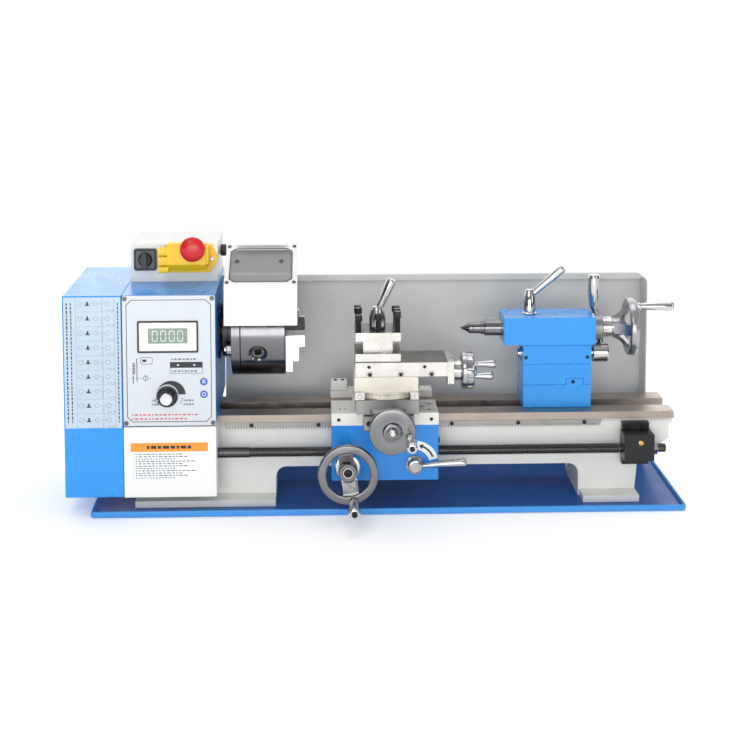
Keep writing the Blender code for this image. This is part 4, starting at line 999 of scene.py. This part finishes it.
def carriage():
    """The saddle with its oiler and locks, and the apron with its label, wheel and lever."""
    (x0, x1), (y0, _), _ = span("saddle")
    top = 135.0
    well = (top - 4, top + 9)
    oiler = (x0 + 15.6, -62.9)
    refined("saddle", "bed_paint", bevel=1.0, cuts=[
        drum("Z", (x1 - 22, -52), 4.2, well, 28),
        prism(rounded((x1 - 16, x1 - 4), (-42, -34), 3.6), "Z", well),
        prism(rounded((x1 - 19, x1 - 5), (-71, -62), 3.6), "Z", well),
        drum("Z", oiler, 5.2, (top - 1.5, top + 5), 32),
    ])
    seats = [(x1 - x, y, top - 3.4) for x, y in ((22, -52), (10, -38), (12, -66.5))]
    screws("saddle_screws", "carriage", "black_oxide", seats, "Z", 1, 3.2, 2.8)
    cap = [(top - 1.4, 0), (top - 1.4, 4.6), (top + 0.2, 4.6), (top + 0.5, 3.6), (top, 2.4), (top + 0.9, 1.4),
           (top + 1.2, 0)]
    piece("saddle_oilers", "carriage", "bright_steel", [turned(cap, "Z", oiler, 32)], bevel=0)
    lock = block((x0, x0 + 24), (37, 61), (top + 0.1, top + 13))
    piece("rear_lock_block", "carriage", "bed_paint", [lock], bevel=1.4)
    seats = [(x, 49, top + 13) for x in (x0 + 7, x0 + 18)]
    screws("rear_lock_screws", "carriage", "black_oxide", seats, "Z", 1, 2.6, 1.2)
    seats = [(x, y0, 126) for x in (x0 + 10, x1 - 10)]
    screws("saddle_front_screws", "carriage", "black_oxide", seats, "Y", -1, 2.4, 0.8)
    refined("apron", "blue_cast", bevel=1.4, segments=3)
    front = span("apron")[1][0]
    hub = (34.7, 62)
    label = prism(circle(hub, 33, 40, 14, 84) + circle(hub, 20.5, 40, 14, 84)[::-1], "Y",
                  (front - 0.15, front + SUNK))
    piece("travel_label", "carriage", "print_white", [label], bevel=0)
    shaft = circle(hub, 28.2, 30, 22, 68) + circle(hub, 25.6, 30, 22, 68)[::-1]
    root, tip = math.radians(66), math.radians(78)
    head = [(hub[0] + r * math.cos(a), hub[1] + r * math.sin(a))
            for r, a in ((30.6, root), (26.9, tip), (23.2, root))]
    arrow = [prism(outline, "Y", (front - 0.25, front - 0.1)) for outline in (shaft, head)]
    group("travel_arrow", "carriage", "print_black", arrow)
    screws("apron_screws", "carriage", "black_oxide", [(x1, -70, 92)], "X", 1, 4.2, 2.6)
    apron_wheel()
    lever_hub = [(-77, 0), (-77, 4.4), (-84.4, 4.4), (-84.4, 12.4), (-86.6, 12.4), (-87.6, 10), (-100.6, 9.8),
                 (-101.6, 9), (-102, 7.6), (-101.4, 6.8), (-101.4, 0)]
    turned_look("lever_steel", "chrome", "Y", hub, (176, 176, 176), 0.2)
    path = [(hub[0] + 6, -94, 62), (52, -95.2, 63.6), (75, -96.8, 65.6), (98, -98.5, 67.5),
            (103, -98.9, 67.9), (104.4, -99, 68), (105, -99, 68.05)]
    arm = swept(path, [3.1, 3.5, 4.6, 6.0, 6.1, 5.4, 3.6])
    piece("halfnut_lever_body", "halfnut_lever", "lever_steel", [turned(lever_hub, "Y", hub, 64), arm], (),
          ["halfnut_lever"], 0, sharp=35)


def wheel_rim(axis, centre, reach, inner, outer, edge):
    """A flat ring with round edges."""
    return turned(rounded(reach, (inner, outer), edge, 5), axis, centre, 96)


def apron_wheel():
    """Handwheel with one bent flat spoke bar through its hub."""
    x0, x1 = span("apron_handwheel")[0]
    centre, rim = middle_of("apron_handwheel", "Y"), (x1 - x0) / 2
    turned_look("apron_wheel_steel", "chrome", "Y", centre, (126, 126, 128), 0.24, 0.016)
    ring = wheel_rim("Y", centre, (-141, -132), rim - 11.5, rim, 2.4)
    spoke = [(-34, -138.4), (-26, -137.6), (-12, -127.5), (12, -127.5), (26, -137.6), (34, -138.4),
             (34, -133.4), (27, -132), (13, -121.5), (-13, -121.5), (-27, -132), (-34, -133.4)]
    bar = prism([(centre[0] + a, y) for a, y in spoke], "Z", (centre[1] - 10.5, centre[1] + 10.5))
    hub = turned([(-99.6, 0), (-99.6, 13), (-124, 13), (-130.5, 12.4), (-131.4, 11.4), (-131.4, 8.2),
                  (-130.2, 7.6), (-130.2, 0)], "Y", centre, 64)
    piece("apron_wheel_body", "apron_wheel", "apron_wheel_steel", [ring, turn(bar, "Y", centre, 82), hub], (),
          ["apron_handwheel"], 0.7, sharp=38)
    boss = [(-99, 5), (-99, 18), (-106, 18), (-108.2, 17), (-108.5, 16), (-108.5, 5)]
    piece("apron_wheel_boss", "apron_wheel", "bright_steel", [turned(boss, "Y", centre, 72)], bevel=0)
    seat = (centre[0], -130.2, centre[1])
    screws("apron_wheel_screw", "apron_wheel", "black_oxide", [seat], "Y", -1, 5.6, 4.2)
    washer = tube("Y", centre, 7.4, 5.7, (-132.6, -130.1), 48)
    piece("apron_wheel_washer", "apron_wheel", "chrome_plate", [washer], bevel=0.3)
    handle("apron_handle_grip", "apron_grip", "Y", (-51.5, -141.3, 30), -56, 5.2, 8, "apron_handle")


def cross_slide():
    """The cross slide with its gib screws, the lugs round the swivel, and the feed bracket."""
    (x0, x1), _, (_, z1) = span("cross_slide")
    gibs = [(y, 145) for y in (-70, -20, 40)]
    refined("cross_slide", "machined_iron", cuts=[drum("X", gib, 3.2, (x1 - 2, x1 + 3), 24) for gib in gibs])
    seats = [(x1 - 1.8, *gib) for gib in gibs]
    screws("cross_gib_screws", "cross_slide", "black_oxide", seats, "X", 1, 2.6, 3.4)
    round_hole = drum("Z", SWIVEL, 46, (150, 175), 72)
    for name, reach in (("left", (x0 - 2.3, x0 + 12)), ("right", (x1 - 12, x1))):
        lug = block(reach, (-93.4, -70), (z1 + 0.05, 165.4))
        piece(f"swivel_lug_{name}", "cross_slide", "milled", [lug], [round_hole], bevel=0.6)
    seats = [(x, -93.4, 161.2) for x in (-42, 31.2)]
    screws("swivel_screws", "cross_slide", "chrome_plate", seats, "Y", -1, 3.2, 1.4, socket=0.5)
    spot = (x1 - 3, -30)
    nut = [(z1 + 0.1, 0), (z1 + 0.1, 9), (z1 + 1.4, 9), (z1 + 1.4, 7.6), (z1 + 8, 7.6), (z1 + 8.6, 6.8),
           (z1 + 8.6, 0)]
    group("swivel_clamp_nut", "cross_slide", "bright_steel",
          [turned(nut, "Z", spot, 6), drum("Z", spot, 4, (z1 + 8, z1 + 12), 28)], bevel=0.3)
    refined("cross_feed_bracket", "machined_iron", bevel=1.0)
    seats = [(x, -103, 125) for x in (-29.3, 26)]
    screws("feed_bracket_screws", "carriage", "black_oxide", seats, "Y", -1, 3.8, 1.2)
    cross_wheel()


def dial(name, body, axis, centre, radius, reach, count=40):
    """A graduated collar with engraved division lines, every fifth one longer."""
    low, high = min(reach), max(reach)
    profile = [(low, 0), (low, radius - 0.6), (low + 0.6, radius), (high - 0.6, radius), (high, radius - 0.6),
               (high, 0)]
    piece(name, body, "bright_steel", [turned(profile, axis, centre, 80)], bevel=0)
    first, second = PLANES[axis]
    extents = [None, None, None]
    extents[first] = (centre[0] + radius - 0.5, centre[0] + radius + 0.04)
    extents[second] = (centre[1] - 0.18, centre[1] + 0.18)
    lines = []
    for k in range(count):
        size = (high - low) * (0.38 if k % 5 else 0.62)
        extents["XYZ".index(axis)] = (low + 0.8, low + 0.8 + size)
        lines.append(turn(block(*extents), axis, centre, 360 * k / count))
    group(f"{name}_marks", body, "print_black", lines)


def cross_wheel():
    """Handwheel of the cross screw, with its shaft, dial and handle."""
    x0, x1 = span("cross_handwheel")[0]
    centre, rim = middle_of("cross_handwheel", "Y"), (x1 - x0) / 2
    turned_look("cross_wheel_steel", "chrome", "Y", centre, (126, 127, 129), 0.26, 0.02)
    profile = [(60, 0), (60, 4), (-103.4, 4), (-103.4, 9), (-153, 9), (-153, rim - 1.6), (-154.6, rim),
               (-160, rim), (-161.4, rim - 0.8), (-162, rim - 2.4), (-160.4, 17), (-160.6, 13.4),
               (-164.6, 12.2), (-165.4, 11), (-165.4, 9.4), (-164.4, 9), (-164.4, 7.4), (-168.6, 6.8),
               (-169.4, 5.6), (-169.4, 0)]
    piece("cross_wheel_body", "cross_screw", "cross_wheel_steel", [turned(profile, "Y", centre, 112)], (),
          ["cross_handwheel"], 0, sharp=34)
    dial("cross_dial", "cross_screw", "Y", centre, 12.8, (-104, -124))
    cap = [(-169.4, 0), (-169.4, 3.6), (-170.2, 3.0), (-170.2, 0)]
    piece("cross_wheel_cap", "cross_screw", "bright_steel", [turned(cap, "Y", centre, 32)], bevel=0)
    handle("cross_handle_grip", "cross_grip", "Y", (23, -162.3, 122.3), -52, 4.8, 7.4, "cross_handle")


def compound():
    """The graduated swivel base, the top slide with its gib screws, and the top slide's wheel."""
    refined("compound_base", "warm_iron")
    ticks = []
    for k in range(-14, 15):
        tall = 2.8 if k % 5 else 4.6
        tick = block((SWIVEL[0] - 0.2, SWIVEL[0] + 0.2), (-93.06, -92.8), (163.4 - tall, 163.4))
        ticks.append(turn(tick, "Z", SWIVEL, k * 2.6))
    group("degree_marks", "compound", "print_black", ticks)
    _, (y0, _), (z0, z1) = span("top_slide")
    holes = [(x, z1 - 6) for x in (-28.7, 48)]
    gibs = [(x, z0 + 3.6) for x in (-27.6, 15, 57.6)]
    wells = [drum("Y", hole, 2.4, (y0 - 3, y0 + 9), 24) for hole in holes]
    wells += [drum("Y", gib, 4.4, (y0 - 3, y0 + 2.2), 28) for gib in gibs]
    slide = refined("top_slide", "milled", bevel=0.7, cuts=wells)
    # painted reflection: the top slide's upward faces get the dark ground steel so they read dark, as if they
    # mirrored dark surroundings
    paint_faces(slide, "dark_ground_and_painted_shade", lambda c, n: n.z > 0.9)
    plugs = [drum("Y", hole, 2.38, (y0 + 0.9, y0 + 7), 20) for hole in holes]
    group("slide_set_screws", "top_slide", "black_oxide", plugs)
    nut = [(y0 + 2.2, 2.6), (y0 + 2.2, 4.2), (y0 - 0.6, 4.2), (y0 - 1.2, 3.6), (y0 - 1.2, 2.6)]
    group("gib_lock_nuts", "top_slide", "bright_steel", [turned(nut, "Y", gib, 6) for gib in gibs], bevel=0.2)
    screws("gib_screws", "top_slide", "black_oxide", [(x, y0 + 2, z) for x, z in gibs], "Y", -1, 2.5, 5.2)
    refined("top_slide_bracket", "milled")
    seats = [(90, y, 196) for y in (-68, -28)]
    screws("top_bracket_screws", "top_slide", "black_oxide", seats, "X", 1, 3.2, 1.6)
    top_wheel()


def top_wheel():
    """Fluted wheel of the top slide, with its dial and two pegs."""
    centre = (SWIVEL[1], 185.0)
    turned_look("top_wheel_steel", "chrome", "X", centre, (178, 178, 180), 0.22)
    profile = [(-30, 0), (-30, 4), (90.6, 4), (90.6, 9), (101.4, 9), (101.4, 23), (102.4, 25.2), (104, 26),
               (108, 26), (108.6, 25.2), (109.6, 25.2), (110.2, 26), (115.4, 26), (117.6, 25.2),
               (118.8, 23.4), (119, 21), (117.6, 19), (117.6, 11), (119, 9), (122, 8.6), (123, 7.4), (123, 0)]
    flutes = [drum("X", spot, 2.9, (109.2, 124), 20) for spot in around(centre, 27.6, 12, 0.5)]
    piece("top_wheel_body", "top_screw", "top_wheel_steel", [turned(profile, "X", centre, 96)], flutes,
          ["top_slide_handwheel"], 0.2, sharp=34)
    dial("top_dial", "top_screw", "X", centre, 14, (90.7, 101.2))
    peg = [(117, 0), (117, 4.2), (119, 4.2), (120, 3.4), (126, 3.5), (140, 5.2), (145, 5.5), (147.6, 5.0),
           (148.8, 3.6), (149, 0)]
    for number, side in enumerate((-1, 1), 1):
        spot = (centre[0] + side * 14, centre[1] - side * 12)
        piece(f"top_wheel_peg_{number}", "top_screw", "chrome_plate", [turned(peg, "X", spot, 48)], bevel=0,
              sharp=40)


def tool_post():
    """Four-way tool post with threaded clamping screws and a tapered lever."""
    (x0, x1), (y0, y1), _ = span("tool_post")
    centre = (-15.8, -48)
    plates = [prism(rounded((x0, x1), (y0, y1), 0.8), "Z", level) for level in ((205.4, 216.5), (234, 246))]
    core = prism(square(centre, 21.3, 1.5), "Z", (215, 235))
    threads = [(centre[0] + a * 26.9, centre[1] + b * 26.9) for a in (-1, 0, 1) for b in (-1, 0, 1) if a or b]
    holes = [drum("Z", centre, 6.2, (200, 250), 32)]
    holes += [drum("Z", spot, 3.9, (230, 250), 24) for spot in threads]
    post = piece("tool_post_body", "tool_post", "milled", [*plates, core], holes, ["tool_post"], 0.5)
    # painted reflection: the plates' upward faces get the dark ground steel so they read dark, as if they
    # mirrored dark surroundings
    paint_faces(post, "dark_ground_and_painted_shade", lambda c, n: n.z > 0.9)
    shanks, heads = [], []
    for k, spot in enumerate(threads):
        tip, rise = 236 + (k * 5 % 3) * 1.2, 263 + (k * 7 % 4) * 1.6
        rings = [(tip, 0), (tip, 2.8)]
        level = tip + 1
        while level < rise - 2:
            rings += [(level, 3.9), (level + 0.45, 3.9), (level + 0.8, 3.2), (level + 1.2, 3.2)]
            level += 1.6
        shanks.append(turned(rings + [(rise, 3.6), (rise, 0)], "Z", spot, 24))
        cap = prism(square(spot, 4.3, 1.3, 4), "Z", (rise, rise + 7.4))
        heads.append(turn(cap, "Z", spot, 12 + 31 * k))
        flange = [(rise - 1.4, 0), (rise - 1.4, 5.0), (rise + 0.3, 5.3), (rise + 0.3, 0)]
        heads.append(turned(flange, "Z", spot, 28))
    group("clamping_screw_threads", "tool_post", "black_oxide", shanks)
    group("clamping_screw_heads", "tool_post", "black_oxide", heads, bevel=0.4)
    turned_look("post_steel", "chrome", "Z", centre, (186, 187, 189), 0.16)
    hub = turned([(207, 0), (207, 6), (246.3, 6), (246.3, 10.6), (247.2, 11.5), (263, 11.5), (264, 11.1),
                  (272, 8.6), (275.5, 7.4), (276.6, 6.6), (277, 5), (277, 0)], "Z", centre, 72)
    path = [(-14.6, 262), (-13.6, 272), (-12.2, 277), (-8, 286), (-1, 302), (3.4, 312), (4.3, 314.3),
            (4.8, 315.4)]
    arm = swept([(x, centre[1], z) for x, z in path], [3.6, 4.2, 4.6, 5.3, 6.4, 6.7, 6.0, 4.0])
    piece("tool_post_lever_body", "tool_post_lever", "post_steel", [hub, arm], (), ["tool_post_lever"], 0,
          sharp=35)


# ---------------------------------------------------------------- tailstock

def tailstock():
    """Base and body, quill with its scale, live centre, wheel and levers."""
    (x0, x1), (y0, _), _ = span("tailstock_base")
    offset = (263.6, 161.4)
    refined("tailstock_base", "blue_enamel", bevel=1.2, segments=3,
            cuts=[drum("Y", offset, 2.6, (y0 - 3, y0 + 6), 24)])
    screws("offset_screws", "tailstock", "black_oxide", [(offset[0], y0 + 3, offset[1])], "Y", -1, 2.5, 2.2)
    seams = [block((180, 300), (y0 - 3, y0 + depth), reach)
             for depth, reach in ((0.8, (186.6, 187.8)), (0.5, (213.6, 214.6)))]
    body = refined("tailstock_body", "blue_enamel", bevel=1.5, segments=3, cuts=seams)
    paint_faces(body, "machined_iron", lambda c, n: c.x > 294.8)
    seats = [(x, y0, 197) for x in (x0 + 3.8, x1 - 5.6)]
    screws("body_screws", "tailstock", "black_oxide", seats, "Y", -1, 2.6, 0.7)
    bush = tube("X", CLAMP_SHAFT, 9, 6.1, (x0 - 2.4, x0 - 0.1), 48)
    piece("clamp_shaft_bush", "tailstock", "bright_steel", [bush])
    dial("quill_dial", "tailstock_screw", "X", AXIS, 14.6, (308.3, 321.5), 50)
    q0, q1 = span("quill")[0]
    barrel = [(q0, 7.6), (q0, 10.9), (q0 + 0.6, 11.5), (q1, 11.5), (q1, 5.6), (175, 5.6), (175, 7.6)]
    piece("quill_barrel", "quill", "quill_steel", [turned(barrel, "X", AXIS, 80)], (), ["quill"], 0)
    marks = []
    for k in range(14):
        start = q0 + 3 + 2 * k
        tall, edge = (2.4, -11.2) if k % 5 else (4, -11.19)
        marks.append(turn(block((start, start + 0.3), (-11.6, edge), (AXIS_Z - tall, AXIS_Z)), "X", AXIS, -8))
    group("quill_scale", "quill", "print_black", marks)
    c0, c1 = span("live_centre")[0]
    point = [(c0, 0), (c0 + 0.5, 0.5), (116.8, 7), (117.2, 8.2), (121, 8.2), (121.4, 7.7), (123, 7.7),
             (123.4, 8.2), (133.6, 8.2), (134, 9.5), (136, 9.5), (136.3, 9.1), (137, 9.1), (137.3, 9.5),
             (138.8, 9.5), (138.8, 7.1), (c1, 7.1), (c1, 0)]
    piece("live_centre_body", "live_centre", "quill_steel", [turned(point, "X", AXIS, 72)], (),
          ["live_centre"], 0, sharp=25)
    tailstock_wheel()
    tailstock_levers()


def tailstock_wheel():
    """Three-spoked handwheel on the tailstock screw."""
    y0, y1 = span("tailstock_handwheel")[1]
    rim = (y1 - y0) / 2
    turned_look("tail_wheel_steel", "chrome", "X", AXIS, (170, 170, 172), 0.24, 0.016)
    hub = [(321.8, 0), (321.8, 12.4), (323, 13), (335, 13), (338, 11.8), (338, 0)]
    shapes = [wheel_rim("X", AXIS, (343.8, 356.2), rim - 10.5, rim, 3.6), turned(hub, "X", AXIS, 64)]
    side = [(323, 9), (331, 9), (340, 17), (350, rim - 12), (353.4, rim - 8), (353.4, rim - 4),
            (347, rim - 4), (343, rim - 12), (334, 19), (324, 13)]
    spoke = prism(side, "Z", (AXIS_Z - 7.5, AXIS_Z + 7.5))
    shapes += [turn(spoke, "X", AXIS, angle) for angle in (60, 180, 300)]
    shapes.append(drum("X", AXIS, 4.9, (199, 322), 32))
    piece("tail_wheel_body", "tailstock_screw", "tail_wheel_steel", shapes, (), ["tailstock_handwheel"], 0.8,
          sharp=38)
    nut = turned([(338, 0), (338, 7.4), (343, 7.4), (344, 6.4), (344, 0)], "X", AXIS, 6)
    piece("tail_wheel_nut", "tailstock_screw", "chrome_plate", [nut])
    root = (356.3, -14, AXIS_Z + 32)
    handle("tail_handle_grip", "tailstock_grip", "X", root, 53, 4.5, 7, "tailstock_handle")


def tailstock_levers():
    """The slim lever that locks the quill, and the heavy one that clamps the base."""
    lock = (204.1, 0)
    turned_look("lock_steel", "chrome", "Z", lock, (190, 190, 192), 0.16)
    hub = turned([(247, 0), (247, 4), (255.3, 4), (255.3, 10.4), (256.2, 10.8), (257.2, 9.6), (258.4, 8.6),
                  (281, 8.6), (281.8, 8.1), (288.4, 6.0), (289.6, 5.2), (290, 3.6), (290, 0)], "Z", lock, 56)
    path = [(206, 281.3), (211, 285.6), (222, 295), (240, 310.3), (247, 316.3), (251, 319.7), (252.4, 320.9),
            (252.9, 321.3)]
    arm = swept([(x, 0, z) for x, z in path], [3.6, 4.4, 4.8, 5.8, 6.0, 5.9, 5.3, 3.6])
    piece("quill_lock_body", "quill_lock", "lock_steel", [hub, arm], (), ["quill_lock_lever"], 0, sharp=35)
    shaft = turned([(187, 0), (187, 5.4), (187.6, 6), (296, 6), (296, 0)], "X", CLAMP_SHAFT, 40)
    boss = [(295, 0), (295, 12.8), (296, 13.8), (315.6, 13.8), (317.4, 12.4), (318, 10), (318, 0)]
    boss = turned(boss, "X", CLAMP_SHAFT, 72)
    path = [(309.5, 8, 196), (309.6, 14, 208), (310, 28, 236), (309, 31, 244), (304.5, 32.6, 252),
            (302.2, 33.4, 257.5), (302.4, 33.8, 262), (303.2, 34.9, 273), (303.3, 35, 278), (303.2, 35, 299),
            (303.2, 35, 302.4), (303.2, 35, 304), (303.2, 35, 304.6)]
    arm = swept(path, [4.2, 4.5, 4.5, 4.6, 4.7, 5.2, 6.3, 8.5, 8.8, 8.7, 8.4, 7.2, 4.6])
    piece("clamp_lever_body", "clamp_lever", "lever_chrome", [shaft, boss, arm], (), ["clamp_lever"], 0,
          sharp=35)


# ---------------------------------------------------------------- the rest, and the studio

KEPT_LOOKS = {
    "bright_steel": ("rear_bearing", "front_bearing", "spindle_gear", "idler_gear", "leadscrew_gear",
                     "chuck_scroll"),
    "machined_iron": ("spindle_pulley", "motor_pulley", "half_nut_upper", "half_nut_lower", "clamp_plate"),
    "black_oxide": ("drive_motor",),
    "rubber": ("drive_belt",),
}


def keep_inner_parts():
    """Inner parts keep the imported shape, with a finished surface."""
    for style, nodes in KEPT_LOOKS.items():
        material = LOOKS[style][0]
        for thing in (NODES[node] for node in nodes):
            if not thing.material_slots:
                thing.data.materials.append(material)
            for slot in thing.material_slots:
                slot.material = material


def lamp(name, place, target, size, watts):
    """A rectangular softbox that faces a target."""
    data = bpy.data.lights.new(name, "AREA")
    data.shape = "RECTANGLE"
    data.size, data.size_y = size
    data.energy = watts
    thing = link(bpy.data.objects.new(name, data))
    thing.location = place
    thing.rotation_euler = (Vector(target) - Vector(place)).to_track_quat("-Z", "Y").to_euler()


def studio():
    """White floor and backdrop that glow, a sky from dark grey to white and four softboxes."""
    floor = bpy.data.meshes.new("studio_floor")
    floor.from_pydata([(x, y, -0.0004) for x, y in circle((0, 0), 12, 96)], [], [tuple(range(96))])
    wall = bpy.data.meshes.new("studio_backdrop")
    wall.from_pydata([(-12, 5, -0.1), (12, 5, -0.1), (12, 5, 9), (-12, 5, 9)], [], [(0, 1, 2, 3)])
    papers = (("floor_paper", 252, 0.85, floor, 0.22), ("backdrop_paper", 250, 0.9, wall, 1.0))
    for style, white, roughness, mesh, strength in papers:
        look(style, "white_paint", tone(white, white, white), roughness, 0.0, 0.01, 0.04, [even(30, 0.05)],
             blotch=2.0)
        glow = LOOKS[style][0].node_tree.nodes["Principled BSDF"]
        glow.inputs["Emission Color"].default_value = (1, 1, 1, 1)
        glow.inputs["Emission Strength"].default_value = strength
        mesh.materials.append(LOOKS[style][0])
        link(bpy.data.objects.new(mesh.name, mesh))
    world = bpy.data.worlds.new("studio")
    world.use_nodes = True
    tree = world.node_tree
    shade = tree.nodes["Background"]
    place = tree.nodes.new("ShaderNodeTexCoord")
    apart = tree.nodes.new("ShaderNodeSeparateXYZ")
    ramp = tree.nodes.new("ShaderNodeValToRGB")
    stops = ramp.color_ramp.elements
    stops[0].position, stops[0].color = 0.05, (0.10, 0.10, 0.11, 1)
    stops[1].position, stops[1].color = 0.8, (1, 1, 1, 1)
    stops.new(0.35).color = (0.42, 0.43, 0.45, 1)
    tree.links.new(place.outputs["Generated"], apart.inputs[0])
    tree.links.new(apart.outputs["Z"], ramp.inputs["Fac"])
    tree.links.new(ramp.outputs["Color"], shade.inputs["Color"])
    shade.inputs["Strength"].default_value = 0.55
    bpy.context.scene.world = world
    lamp("front_softbox", (-0.3, -3.2, 0.55), (0, 0, 0.2), (2.6, 1.0), 39)
    lamp("key_softbox", (-0.9, -2.2, 1.9), (0, 0, 0.15), (1.3, 0.8), 12)
    lamp("fill_softbox", (1.9, -1.7, 1.1), (0, 0, 0.15), (0.6, 1.3), 6)
    lamp("top_softbox", (0.0, 0.2, 2.1), (0, 0, 0.1), (2.0, 1.0), 10)
    bpy.context.scene.view_settings.view_transform = "Standard"


def camera():
    """A long lens in front of the lathe, a little left and above, that looks slightly down."""
    yaw, pitch = 0.0388, 0.0947
    focal_widths, sensor = 2.0321, 36.0
    data = bpy.data.cameras.new("camera")
    data.sensor_width = sensor
    data.lens = focal_widths * sensor
    data.shift_y = -0.309
    data.clip_end = 200
    thing = link(bpy.data.objects.new("camera", data))
    thing.location = (-0.1003, -2.1405, 0.7041)
    thing.rotation_euler = (math.pi / 2 - pitch, 0, -yaw)
    bpy.context.scene.camera = thing


def main():
    """Makes the looks, the studio and every piece, and checks that no node is left without a look."""
    make_looks()
    camera()
    studio()
    for make in (tray, bed, guards, leadscrew, leadscrew_end, headstock, control_panel, knobs, covers,
                 switch_gear, chuck_guard, chuck, carriage, cross_slide, compound, tool_post, tailstock,
                 keep_inner_parts):
        make()
    kept = {node for nodes in KEPT_LOOKS.values() for node in nodes}
    missing = sorted(set(NODES) - REPLACED - kept)
    assert not missing, f"nodes without a look: {missing}"


main()
